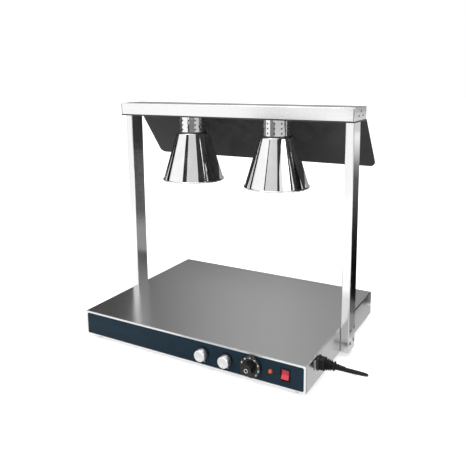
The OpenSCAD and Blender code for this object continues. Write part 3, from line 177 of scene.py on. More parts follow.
class Graph:
    """The node tree of one material, or of the world."""

    def __init__(self, name: str, world: bool = False) -> None:
        """Makes an empty node tree.

        Args:
            name: the name of the material or the world.
            world: whether the tree is a world's.
        """
        self.owner = (bpy.data.worlds if world else bpy.data.materials).new(name)
        self.owner.use_nodes = True
        self.tree = self.owner.node_tree
        self.tree.nodes.clear()

    def node(self, kind: str, settings: Optional[dict] = None, inputs: Optional[dict] = None,
             output: Union[int, str] = 0) -> Sock:
        """Adds any node.

        Args:
            kind: the node's type.
            settings: its properties, which are set before its sockets. The key stops holds a ramp's stops.
            inputs: values or sockets by input name or number.
            output: the output to return.

        Returns:
            That output.
        """
        node = self.tree.nodes.new(kind)
        for key, value in (settings or {}).items():
            if key == "stops":
                self._stops(node.color_ramp, value)
            else:
                setattr(node, key, value)
        for key, value in (inputs or {}).items():
            if isinstance(value, Sock):
                self.tree.links.new(value.value, node.inputs[key])
            elif isinstance(value, tuple) and len(value) == 3 and node.inputs[key].type == "RGBA":
                node.inputs[key].default_value = (*value, 1.0)
            else:
                node.inputs[key].default_value = value
        return Sock(self, node.outputs[output])

    @staticmethod
    def _stops(ramp: object, stops: Sequence[tuple[float, Colour]]) -> None:
        """Sets a ramp's stops.

        Args:
            ramp: the node's colour ramp.
            stops: place and colour of each stop.
        """
        for element, (place, colour) in zip((ramp.elements[0], ramp.elements[-1]), (stops[0], stops[-1])):
            element.position = place
            element.color = (*colour, 1.0)
        for place, colour in stops[1:-1]:
            ramp.elements.new(place).color = (*colour, 1.0)

    def place(self, scale: Place = (1.0, 1.0, 1.0), centre: Place = (0.0, 0.0, 0.0)) -> Sock:
        """Object coordinates, moved to a centre and then scaled.

        Args:
            scale: the scale along each axis.
            centre: the point that becomes the origin.

        Returns:
            The coordinates.
        """
        where = self.node("ShaderNodeTexCoord", output="Object")
        moved = tuple(-c * s for c, s in zip(centre, scale))
        return self.node("ShaderNodeMapping", {"vector_type": "POINT"}, {0: where, 1: moved, 3: tuple(scale)})

    def part(self, vector: Sock, index: int) -> Sock:
        """One part of a vector.

        Args:
            vector: the vector.
            index: 0 for X, 1 for Y and 2 for Z.

        Returns:
            That part.
        """
        return self.node("ShaderNodeSeparateXYZ", inputs={0: vector}, output=index)

    def noise(self, vector: Sock, scale: float, detail: float = 3.0, rough: float = 0.55) -> Sock:
        """Noise between about 0 and 1.

        Args:
            vector: where it is read.
            scale: its scale, per metre.
            detail: its octaves.
            rough: how strong the fine octaves are.

        Returns:
            The noise.
        """
        inputs = {"Vector": vector, "Scale": scale, "Detail": detail, "Roughness": rough}
        return self.node("ShaderNodeTexNoise", {"noise_dimensions": "3D"}, inputs)

    def length(self, vector: Sock) -> Sock:
        """The length of a vector."""
        return self.node("ShaderNodeVectorMath", {"operation": "LENGTH"}, {0: vector}, output="Value")

    def mix(self, factor: object, first: object, second: object, blend: str = "MIX") -> Sock:
        """Mixes two colours.

        Args:
            factor: 0 for the first and 1 for the second.
            first: a colour.
            second: a colour.
            blend: the Mix node's blend type.

        Returns:
            The mixed colour.
        """
        settings = {"data_type": "RGBA", "blend_type": blend, "clamp_factor": True}
        return self.node("ShaderNodeMix", settings, {0: factor, 6: first, 7: second}, output=2)

    def bump(self, height: Sock, distance: float, strength: float = 1.0) -> Sock:
        """A Bump node.

        Args:
            height: the height pattern.
            distance: its depth in metres.
            strength: its strength.

        Returns:
            The normal.
        """
        return self.node("ShaderNodeBump", inputs={"Height": height, "Distance": distance, "Strength": strength})

    def wear(self, low: float = 0.515, high: float = 0.56) -> Sock:
        """How far a point stands on an outer edge, from the surface's pointiness.

        Args:
            low: the pointiness at which wear starts.
            high: the pointiness at which it is full.

        Returns:
            The wear, from 0 to 1.
        """
        return self.node("ShaderNodeNewGeometry", output="Pointiness").ramp(low, high)

    def surface(self, **inputs: object) -> Material:
        """Ends the tree in a Principled shader.

        Args:
            inputs: its sockets, with underscores for spaces.

        Returns:
            The finished material.
        """
        named = {key.replace("_", " "): value for key, value in inputs.items()}
        self.node_output(self.node("ShaderNodeBsdfPrincipled", inputs=named))
        return self.owner

    def rays(self, *kinds: str) -> list[Sock]:
        """Whether the ray that looks is a Camera, Glossy or Transmission ray, for each kind asked for."""
        return [self.node("ShaderNodeLightPath", output=f"Is {kind} Ray") for kind in kinds]

    def glow(self, colour: object) -> Sock:
        """An Emission shader at strength 1."""
        return self.node("ShaderNodeEmission", inputs={"Color": colour, "Strength": 1.0})

    def node_output(self, shader: Sock, kind: str = "ShaderNodeOutputMaterial") -> None:
        """Links a shader to the tree's output."""
        self.tree.links.new(shader.value, self.tree.nodes.new(kind).inputs["Surface"])


# ---------------------------------------------------------------- finishes


def brushed(graph: Graph, grain: Axis) -> Sock:
    """The pattern of brush strokes along one axis.

    Args:
        graph: the material's tree.
        grain: the direction of the strokes.

    Returns:
        The pattern, from about 0 to 1.
    """
    along = [300.0, 300.0, 300.0]
    along["XYZ".index(grain.name)] = 5.0
    streaks = graph.noise(graph.place(along), 1.0, 4.0, 0.62)
    fine = graph.noise(graph.place([a * 5.0 for a in along]), 1.0, 2.0, 0.6)
    return streaks * 0.55 + fine * 0.45


@dataclass(frozen=True)
class BrushedSteel:
    """Stainless sheet or tube with a fine grain along one axis."""

    name: str
    colour: Colour
    roughness: float
    grain: Axis = Axis.X
    depth: float = 0.00001
    contrast: float = 1.0

    def build(self) -> Material:
        """Makes the material."""
        graph = Graph(self.name)
        return self.steel(graph, brushed(graph, self.grain), self.colour)

    def steel(self, graph: Graph, grain: Sock, colour: object) -> Material:
        """Ends a tree in brushed metal.

        Args:
            graph: the material's tree.
            grain: the pattern of its strokes.
            colour: the metal's colour or the socket that gives it.

        Returns:
            The material.
        """
        clouds = graph.noise(graph.place(), 5.0, 3.0)
        dark = 0.12 * self.contrast
        shade = graph.mix(grain.ramp(0.3, 0.7), (1.0 - dark,) * 3, (1.0 + dark * 0.5,) * 3)
        worn = graph.mix(graph.wear() * 0.5, graph.mix(1.0, colour, shade, "MULTIPLY"), (0.86, 0.86, 0.86))
        rough = self.roughness + (grain - 0.5) * (0.09 * self.contrast) + (clouds - 0.5) * 0.07
        return graph.surface(Base_Color=worn, Metallic=1.0, Roughness=rough,
                             Normal=graph.bump(grain, self.depth, 0.6))


@dataclass(frozen=True)
class FoldedSteel(BrushedSteel):
    """The base's folded shell: brushed from side to side on top, and from front to back on its skirts. The skirts are
    the same steel painted a little darker than the top, as painted shade.
    """

    # side: the skirts' colour, a painted-shade copy of the top's steel
    side: Colour = (0.42, 0.42, 0.425)
    shade_split: float = 0.0775

    def build(self) -> Material:
        """Makes the material.

        Returns:
            The material.
        """
        graph = Graph(self.name)
        top = graph.part(graph.place(), 2).ramp(self.shade_split - 0.001, self.shade_split + 0.001)
        skirt = brushed(graph, Axis.Y)
        grain = skirt + (brushed(graph, Axis.X) - skirt) * top
        # at the fold the colour turns from the top's to the skirts' darker copy: painted shade
        return self.steel(graph, grain, graph.mix(top, self.side, self.colour))


@dataclass(frozen=True)
class PolishedChrome:
    """Mirror-bright plating with faint smears and a little waviness."""

    name: str
    colour: Colour
    roughness: float = 0.04
    waviness: float = 0.00004

    def build(self) -> Material:
        """Makes the material.

        Returns:
            The material.
        """
        graph = Graph(self.name)
        smears = graph.noise(graph.place(), 26.0, 4.0, 0.6)
        waves = graph.noise(graph.place(), 11.0, 1.0, 0.4)
        colour = graph.mix(smears.ramp(0.35, 0.7), toned(self.colour, 0.95), self.colour)
        rough = self.roughness + smears.ramp(0.45, 0.8) * 0.05
        return graph.surface(Base_Color=colour, Metallic=1.0, Roughness=rough,
                             Normal=graph.bump(waves, self.waviness, 0.5))


@dataclass(frozen=True)
class TurnedMetal:
    """Metal turned on a lathe: fine rings round an axis along Y."""

    name: str
    colour: Colour
    centre: tuple[float, float, float]
    roughness: float = 0.16
    pitch: float = 0.0011
    depth: float = 0.00001

    def build(self) -> Material:
        """Makes the material.

        Returns:
            The material.
        """
        graph = Graph(self.name)
        flat = graph.place((1.0, 0.0, 1.0), self.centre)
        rings = (graph.length(flat) * (2.0 * math.pi / self.pitch)).sine() * 0.5 + 0.5
        specks = graph.noise(graph.place(), 900.0, 2.0)
        pattern = rings * 0.65 + specks * 0.35
        colour = graph.mix(pattern, toned(self.colour, 0.9), self.colour)
        colour = graph.mix(graph.wear() * 0.4, colour, (0.93, 0.93, 0.92))
        return graph.surface(Base_Color=colour, Metallic=1.0, Roughness=self.roughness + pattern * 0.12,
                             Normal=graph.bump(pattern, self.depth, 0.5))


@dataclass(frozen=True)
class Moulding:
    """Moulded plastic, rubber, glaze or lacquer, with a fine grain and paler edges."""

    name: str
    colour: Colour
    roughness: float
    grain: float = 0.00002
    scale: float = 1400.0
    edge: float = 0.35
    coat: float = 0.0
    specular: float = 0.5

    def build(self) -> Material:
        """Makes the material.

        Returns:
            The material.
        """
        graph = Graph(self.name)
        grains = graph.noise(graph.place(), self.scale, 3.0, 0.6)
        patches = graph.noise(graph.place(), 30.0, 3.0)
        colour = graph.mix(patches, toned(self.colour, 0.85), toned(self.colour, 1.12))
        colour = graph.mix(graph.wear() * self.edge, colour, toned(self.colour, 1.3, 0.03))
        rough = self.roughness + (patches - 0.5) * 0.1 + (grains - 0.5) * 0.08
        return graph.surface(Base_Color=colour, Roughness=rough, Coat_Weight=self.coat, Coat_Roughness=0.08,
                             Specular_IOR_Level=self.specular, Normal=graph.bump(grains, self.grain, 0.5))


@dataclass(frozen=True)
class PrintedFilm:
    """The panel's dark blue film: satin, with a faint woven print and dusty patches."""

    name: str
    colour: Colour
    roughness: float = 0.3

    def build(self) -> Material:
        """Makes the material.

        Returns:
            The material.
        """
        graph = Graph(self.name)
        print_grain = graph.noise(graph.place(), 1800.0, 2.0)
        patches = graph.noise(graph.place((1.0, 1.0, 3.0)), 9.0, 4.0)
        colour = graph.mix(patches.ramp(0.3, 0.72), toned(self.colour, 0.86), toned(self.colour, 1.18))
        colour = graph.mix(print_grain * 0.2, colour, toned(self.colour, 1.5))
        rough = self.roughness + (patches - 0.5) * 0.12
        return graph.surface(Base_Color=colour, Roughness=rough, Specular_IOR_Level=0.1,
                             Normal=graph.bump(print_grain, 0.000012, 0.4))


@dataclass(frozen=True)
class SmokedSheet:
    """Very dark clear sheet: glossy, just see-through, with bright polished edges."""

    name: str
    colour: Colour
    alpha: float = 0.985

    def build(self) -> Material:
        """Makes the material.

        Returns:
            The material.
        """
        graph = Graph(self.name)
        waves = graph.noise(graph.place(), 6.0, 2.0, 0.4)
        dust = graph.noise(graph.place(), 240.0, 3.0, 0.7)
        colour = graph.mix(dust.ramp(0.55, 0.85), self.colour, toned(self.colour, 1.6, 0.004))
        return graph.surface(Base_Color=colour, Roughness=0.035 + dust.ramp(0.5, 0.9) * 0.1, Alpha=self.alpha,
                             Specular_IOR_Level=0.06, Normal=graph.bump(waves, 0.00006, 0.5))


@dataclass(frozen=True)
class BulbGlass:
    """A reflector bulb: a frosted face below a level, and a mirrored bowl above it."""

    name: str
    face_z: float

    def build(self) -> Material:
        """Makes the material.

        Returns:
            The material.
        """
        graph = Graph(self.name)
        bowl = graph.part(graph.place(), 2).ramp(self.face_z, self.face_z + 0.001)
        frost = graph.noise(graph.place(), 260.0, 3.0)
        face = graph.mix(frost, (0.78, 0.77, 0.73), (0.86, 0.86, 0.83))
        colour = graph.mix(bowl, face, (0.8, 0.8, 0.8))
        rough = 0.34 - bowl * 0.24 + frost * 0.06
        return graph.surface(Base_Color=colour, Metallic=bowl, Roughness=rough, Coat_Weight=0.4,
                             Normal=graph.bump(frost, 0.00005, 0.5))


@dataclass(frozen=True)
class TintedLens:
    """A glossy tinted lens with a lit look from its depth and a ribbed inside. Above its split height the colour is
    painted darker, as painted shade.
    """

    name: str
    colour: Colour
    # deep_and_shaded: the deeper tint, and the painted shade above the split
    deep_and_shaded: Colour
    axis: Axis = Axis.Z
    pitch: float = 0.0016
    roughness: float = 0.1
    shade_split: float = 0.0

    def build(self) -> Material:
        """Makes the material.

        Returns:
            The material.
        """
        graph = Graph(self.name)
        along = graph.part(graph.place(), "XYZ".index(self.axis.name))
        ribs = (along * (2.0 * math.pi / self.pitch)).sine() * 0.5 + 0.5
        cloud = graph.noise(graph.place(), 160.0, 2.0)
        depth = ribs * 0.25 + cloud * 0.5
        # painted shade: above the split height the colour leans to the darker one
        if self.shade_split:
            height = graph.part(graph.place(), 2)
            depth = depth * 0.4 + height.ramp(self.shade_split - 0.001, self.shade_split + 0.001) * 0.6
        colour = graph.mix(depth, self.colour, self.deep_and_shaded)
        return graph.surface(Base_Color=colour, Roughness=self.roughness + cloud * 0.06, Coat_Weight=0.3,
                             Coat_Roughness=0.04, Specular_IOR_Level=0.3, Normal=graph.bump(cloud, 0.00002, 0.4))


# ---------------------------------------------------------------- modelling


class Shape:
    """A bmesh that operators build up, and that ends as an object with its place in its mesh."""

    def __init__(self) -> None:
        """Starts empty."""
        self.bm = bmesh.new()

    def wire(self, points: Iterable[Place]) -> list:
        """A chain of vertices.

        Args:
            points: the places, in metres.

        Returns:
            The new vertices and edges.
        """
        verts = [self.bm.verts.new(p) for p in points]
        edges = [self.bm.edges.new(pair) for pair in zip(verts, verts[1:])]
        return verts + edges

    def spin(self, profile: Sequence[tuple[float, float]], centre: Place, axis: Axis = Axis.Z,
             steps: int = 96, closed: bool = False) -> "Shape":
        """Spins a profile round an axis.

        Args:
            profile: radius and distance along the axis of each point, in metres.
            centre: the point where the distance is 0.
            axis: the direction of the axis.
            steps: the number of steps in the turn.
            closed: whether the profile's last point joins its first.

        Returns:
            This shape.
        """
        side = Vector((0.0, 1.0, 0.0)) if axis is Axis.X else Vector((1.0, 0.0, 0.0))
        base = Vector(centre)
        points = [base + side * r + axis.value * d for r, d in profile]
        geometry = self.wire(points)
        if closed:
            verts = only(geometry, bmesh.types.BMVert)
            geometry.append(self.bm.edges.new((verts[-1], verts[0])))
        bmesh.ops.spin(self.bm, geom=geometry, cent=base, axis=axis.value, angle=2.0 * math.pi, steps=steps,
                       use_merge=True)
        bmesh.ops.remove_doubles(self.bm, verts=self.bm.verts, dist=TOUCH / 10.0)
        return self.outwards()

    def sweep(self, points: Iterable[Place], run: Place) -> "Shape":
        """The sheet that a chain of points sweeps out.

        Args:
            points: the chain, in metres.
            run: how far it moves.

        Returns:
            This shape.
        """
        grown = bmesh.ops.extrude_edge_only(self.bm, edges=only(self.wire(points), bmesh.types.BMEdge))["geom"]
        bmesh.ops.translate(self.bm, vec=run, verts=only(grown, bmesh.types.BMVert))
        return self

    def thicken(self, wall: float) -> "Shape":
        """Gives an open sheet its thickness, below or inside it.

        Args:
            wall: the thickness, in metres.

        Returns:
            This shape.
        """
        self.outwards()
        if next(f for f in self.bm.faces if abs(f.normal.z) > 0.95).normal.z < 0:
            bmesh.ops.reverse_faces(self.bm, faces=self.bm.faces)
        bmesh.ops.solidify(self.bm, geom=self.bm.faces[:], thickness=wall)
        return self.outwards()

    def grow(self, face: bmesh.types.BMFace, run: Place) -> list:
        """Extrudes a face.

        Args:
            face: the face.
            run: how far its copy moves.

        Returns:
            The new vertices, edges and faces.
        """
        grown = bmesh.ops.extrude_face_region(self.bm, geom=[face])["geom"]
        bmesh.ops.translate(self.bm, vec=run, verts=only(grown, bmesh.types.BMVert))
        return grown

    def block(self, low: Place, high: Place) -> list:
        """A box from corner to corner.

        Args:
            low: the lowest corner.
            high: the highest corner.

        Returns:
            The new vertices.
        """
        size = [b - a for a, b in zip(low, high)]
        middle = [(a + b) / 2.0 for a, b in zip(low, high)]
        place = Matrix.Translation(middle) @ Matrix.Diagonal((*size, 1.0))
        return bmesh.ops.create_cube(self.bm, size=1.0, matrix=place)["verts"]

    def bevel(self, edges: Iterable[bmesh.types.BMEdge], width: float, segments: int = 3) -> "Shape":
        """Rounds edges.

        Args:
            edges: the edges.
            width: the offset, in metres.
            segments: the number of segments.

        Returns:
            This shape.
        """
        bmesh.ops.bevel(self.bm, geom=list(edges), offset=width, offset_type="OFFSET", segments=segments,
                        profile=0.5, affect="EDGES", material=-1, clamp_overlap=True)
        return self

    def edges_where(self, test: Callable[[Vector, Vector], bool]) -> list:
        """The edges whose two ends pass a test."""
        return [e for e in self.bm.edges if test(e.verts[0].co, e.verts[1].co)]

    def sharp_edges(self, angle: float = 0.6) -> list:
        """The edges between faces that meet at more than an angle."""
        return [e for e in self.bm.edges if len(e.link_faces) == 2 and e.calc_face_angle(0.0) > angle]

    def level_edges(self, index: int, value: float) -> list:
        """The edges whose two ends lie at one place along an axis, given by its index."""
        return self.edges_where(lambda a, b: max(abs(a[index] - value), abs(b[index] - value)) < TOUCH)

    def outwards(self) -> "Shape":
        """Turns all faces outwards."""
        bmesh.ops.recalc_face_normals(self.bm, faces=self.bm.faces)
        return self

    def loft(self, stations: Sequence[tuple[float, float, float]], start: Place, corner: float) -> "Shape":
        """A rounded block along X whose section changes on the way.

        Args:
            stations: distance along X, width and height of each section, in metres.
            start: the point of the axis at distance 0.
            corner: the corner radius of the first section.

        Returns:
            This shape.
        """
        distance, width, height = stations[0]
        base = Vector(start)
        verts = [self.bm.verts.new(base + Vector((distance, side * width / 2.0, rise * height / 2.0)))
                 for side, rise in ((-1, -1), (1, -1), (1, 1), (-1, 1))]
        self.bm.faces.new(verts)
        cut = bmesh.ops.bevel(self.bm, geom=verts, offset=corner, offset_type="OFFSET", segments=5, profile=0.5,
                              affect="VERTICES", material=-1, clamp_overlap=True)
        face = next(f for f in self.bm.faces if set(f.verts) <= set(cut["verts"]))
        for before, after in zip(stations, stations[1:]):
            grown = bmesh.ops.extrude_face_region(self.bm, geom=[face])["geom"]
            ring = only(grown, bmesh.types.BMVert)
            if before is not stations[0]:
                bmesh.ops.delete(self.bm, geom=[face], context="FACES_ONLY")
            face = only(grown, bmesh.types.BMFace)[0]
            scale = Vector((1.0, after[1] / before[1], after[2] / before[2]))
            bmesh.ops.scale(self.bm, vec=scale, verts=ring, space=Matrix.Translation(-base))
            bmesh.ops.translate(self.bm, vec=(after[0] - before[0], 0.0, 0.0), verts=ring)
        return self.outwards()

    @staticmethod
    def _plain(face: bmesh.types.BMFace, smooth: float, least: float = 1e-4, share: float = 0.3,
               tilt: float = 1e-3) -> bool:
        """Tells whether a face is a flat wall between narrow rounded edges.

        Args:
            face: the face.
            smooth: the angle in radians past which an edge stays sharp.
            least: the area in square metres below which a face counts as part of a curve.
            share: the share of its area from which a neighbour is wide.
            tilt: the angle in radians below which a neighbour lies in the same plane.

        Returns:
            True when its shading has to stay flat.
        """
        area = face.calc_area()
        sides = [f for edge in face.edges for f in edge.link_faces if f is not face]
        wide = [f for f in sides
                if f.calc_area() > share * area and tilt < f.normal.angle(face.normal, 0.0) < smooth]
        return area > least and not wide

    def finish(self, name: str, material: Material, smooth: float = 0.6) -> bpy.types.Object:
        """Makes the object.

        Args:
            name: the piece's name.
            material: its material.
            smooth: the angle in radians past which an edge stays sharp.

        Returns:
            The new object, at the origin.
        """
        self.bm.normal_update()
        for face in self.bm.faces:
            face.smooth = not self._plain(face, smooth)
        for edge in self.bm.edges:
            edge.smooth = len(edge.link_faces) == 2 and edge.calc_face_angle(0.0) < smooth
        mesh = bpy.data.meshes.new(name)
        self.bm.to_mesh(mesh)
        self.bm.free()
        piece = bpy.data.objects.new(name, mesh)
        bpy.context.scene.collection.objects.link(piece)
        mesh.materials.append(material)
        return piece


def arc(centre: Place, radius: float, start: float, end: float, steps: int) -> list[tuple[float, float]]:
    """Points on an arc.

    Args:
        centre: the arc's centre.
        radius: its radius.
        start: the first angle, in degrees.
        end: the last angle, in degrees.
        steps: the number of steps.

    Returns:
        The points, both ends included.
    """
    angles = [math.radians(start + (end - start) * i / steps) for i in range(steps + 1)]
    return [(centre[0] + radius * math.cos(a), centre[1] + radius * math.sin(a)) for a in angles]


def centre_of(node: str) -> Vector:
    """The middle of a CAD node's box."""
    low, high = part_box(node)
    return (low + high) / 2.0


class Workshop:
    """Makes each piece, puts it on its body and reports it."""

    def __init__(self, finishes: dict[str, Material]) -> None:
        """Starts with the finishes and no pieces.

        Args:
            finishes: the materials by name.
        """
        self.finishes = finishes
        self.pieces: list[bpy.types.Object] = []

    def add(self, shape: Shape, name: str, finish: str, *nodes: str, slot: str = "",
            body: Body = Body.STATION, smooth: float = 0.6) -> bpy.types.Object:
        """Makes a shape a piece and fits it.

        Args:
            shape: the shape.
            name: the piece's name.
            finish: the name of its finish.
            nodes: the CAD nodes that it replaces.
            slot: the record's material slot, where that isn't the finish's name.
            body: the body that it moves with.
            smooth: the angle in radians past which an edge stays sharp.

        Returns:
            The piece.
        """
        return self.fit(shape.finish(name, self.finishes[finish], smooth), body, slot or finish, *nodes)

    def fit(self, piece: bpy.types.Object, body: Body, slot: str, *nodes: str) -> bpy.types.Object:
        """Lets a piece ride on its body and stand for its CAD nodes.

        Args:
            piece: the piece.
            body: the body that it moves with.
            slot: the record's material slot; not used.
            nodes: the CAD nodes that it replaces.

        Returns:
            The piece.
        """
        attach(piece, body.value)
        if nodes:
            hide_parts(*nodes)
        self.pieces.append(piece)
        log.info("%s rides on %s, with %d faces", piece.name, body.value, len(getattr(piece.data, "polygons", [])))
        return piece


@dataclass
class Assembly:
    """A sub-assembly, whose pieces are made in a workshop."""

    shop: Workshop


# ---------------------------------------------------------------- camera, studio and lead


@dataclass
class PhotoCamera:
    """The camera at the photograph's place."""

    place: tuple[float, float, float] = (0.764708, -1.331036, 0.7171)
    azimuth: float = 0.516151
    elevation: float = 0.169985
    roll: float = -0.00947
    focal_pixels: float = 572.62
    frame_pixels: float = 466.0
    centre_row: float = 172.0

    def build(self) -> bpy.types.Object:
        """Makes the camera and looks through it.

        Returns:
            The camera.
        """
        data = bpy.data.cameras.new("photo_camera")
        data.sensor_width = 36.0
        data.lens = self.focal_pixels / self.frame_pixels * 36.0
        data.shift_y = -(self.frame_pixels / 2.0 - self.centre_row) / self.frame_pixels
        data.clip_start = 0.05
        data.clip_end = 60.0
        camera = bpy.data.objects.new("photo_camera", data)
        bpy.context.scene.collection.objects.link(camera)
        level = math.cos(self.elevation)
        back = Vector((math.sin(self.azimuth) * level, -math.cos(self.azimuth) * level, math.sin(self.elevation)))
        right = (-back).cross(Axis.Z.value).normalized()
        up = right.cross(-back)
        turned = right * math.cos(self.roll) + up * math.sin(self.roll)
        upright = up * math.cos(self.roll) - right * math.sin(self.roll)
        turn = Matrix((turned, upright, back)).transposed()
        camera.matrix_world = Matrix.Translation(self.place) @ turn.to_4x4()
        bpy.context.scene.camera = camera
        return camera


@dataclass
class Lamp:
    """One soft light."""

    name: str
    place: tuple[float, float, float]
    target: tuple[float, float, float]
    size: tuple[float, float]
    power: float
    glossy: bool = True

    def build(self) -> None:
        """Makes the light."""
        data = bpy.data.lights.new(self.name, "AREA")
        data.shape = "RECTANGLE"
        data.size, data.size_y = self.size
        data.energy = self.power
        light = bpy.data.objects.new(self.name, data)
        bpy.context.scene.collection.objects.link(light)
        light.location = self.place
        aim = Vector(self.target) - Vector(self.place)
        light.rotation_mode = "QUATERNION"
        light.rotation_quaternion = aim.to_track_quat("-Z", "Y")
        light.visible_glossy = self.glossy
        light.visible_camera = False


def only_reflected(card: bpy.types.Object) -> None:
    """Leaves a piece of the studio to reflections alone.

    Args:
        card: the piece.
    """
    for kind in ("camera", "diffuse", "shadow", "transmission"):
        setattr(card, f"visible_{kind}", False)


@dataclass
class Card:
    """A plain upright card off camera that bright metal reflects.

    It stands on the line from start to end, between two heights. Its level is its brightness, and levels are
    pairs of a place along an axis and the brightness there.
    """

    name: str
    start: tuple[float, float]
    end: tuple[float, float]
    low: float
    high: float
    level: float = 1.0
    axis: Axis = Axis.Z
    levels: tuple[tuple[float, float], ...] = ()

    def build(self) -> None:
        """Makes the card and leaves it to reflections alone."""
        graph = Graph(self.name)
        colour = (self.level,) * 3
        if self.levels:
            first, last = self.levels[0][0], self.levels[-1][0]
            where = (graph.part(graph.place(), "XYZ".index(self.axis.name)) - first) / (last - first)
            stops = [((place - first) / (last - first), (level,) * 3) for place, level in self.levels]
            colour = graph.node("ShaderNodeValToRGB", {"stops": stops}, {0: where})
        graph.node_output(graph.glow(colour))
        shape = Shape().sweep([(*self.start, self.low), (*self.end, self.low)], (0.0, 0.0, self.high - self.low))
        only_reflected(shape.finish(self.name, graph.owner))


@dataclass
class Mat:
    """A plain flat card just above the floor that bright metal reflects."""

    name: str
    start: tuple[float, float]
    end: tuple[float, float]
    level: float
    height: float = 0.002

    def build(self) -> None:
        """Makes the mat and leaves it to reflections alone."""
        graph = Graph(self.name)
        graph.node_output(graph.glow((self.level,) * 3))
        shape = Shape()
        size = (self.end[0] - self.start[0], self.end[1] - self.start[1], 1.0)
        middle = ((self.start[0] + self.end[0]) / 2.0, (self.start[1] + self.end[1]) / 2.0, self.height)
        place = Matrix.Translation(middle) @ Matrix.Diagonal((*size, 1.0))
        bmesh.ops.create_grid(shape.bm, x_segments=1, y_segments=1, size=0.5, matrix=place)
        only_reflected(shape.finish(self.name, graph.owner))


def round_lamps(angle: float, distance: float, line: float = 0.019) -> tuple[float, float]:
    """A place on the floor at an angle round the lamps, from the front towards the right.

    Args:
        angle: the angle in degrees.
        distance: the distance from the middle between the lamps.
        line: the Y of the lamps.

    Returns:
        Its X and Y.
    """
    turn = math.radians(angle)
    return distance * math.sin(turn), line - distance * math.cos(turn)


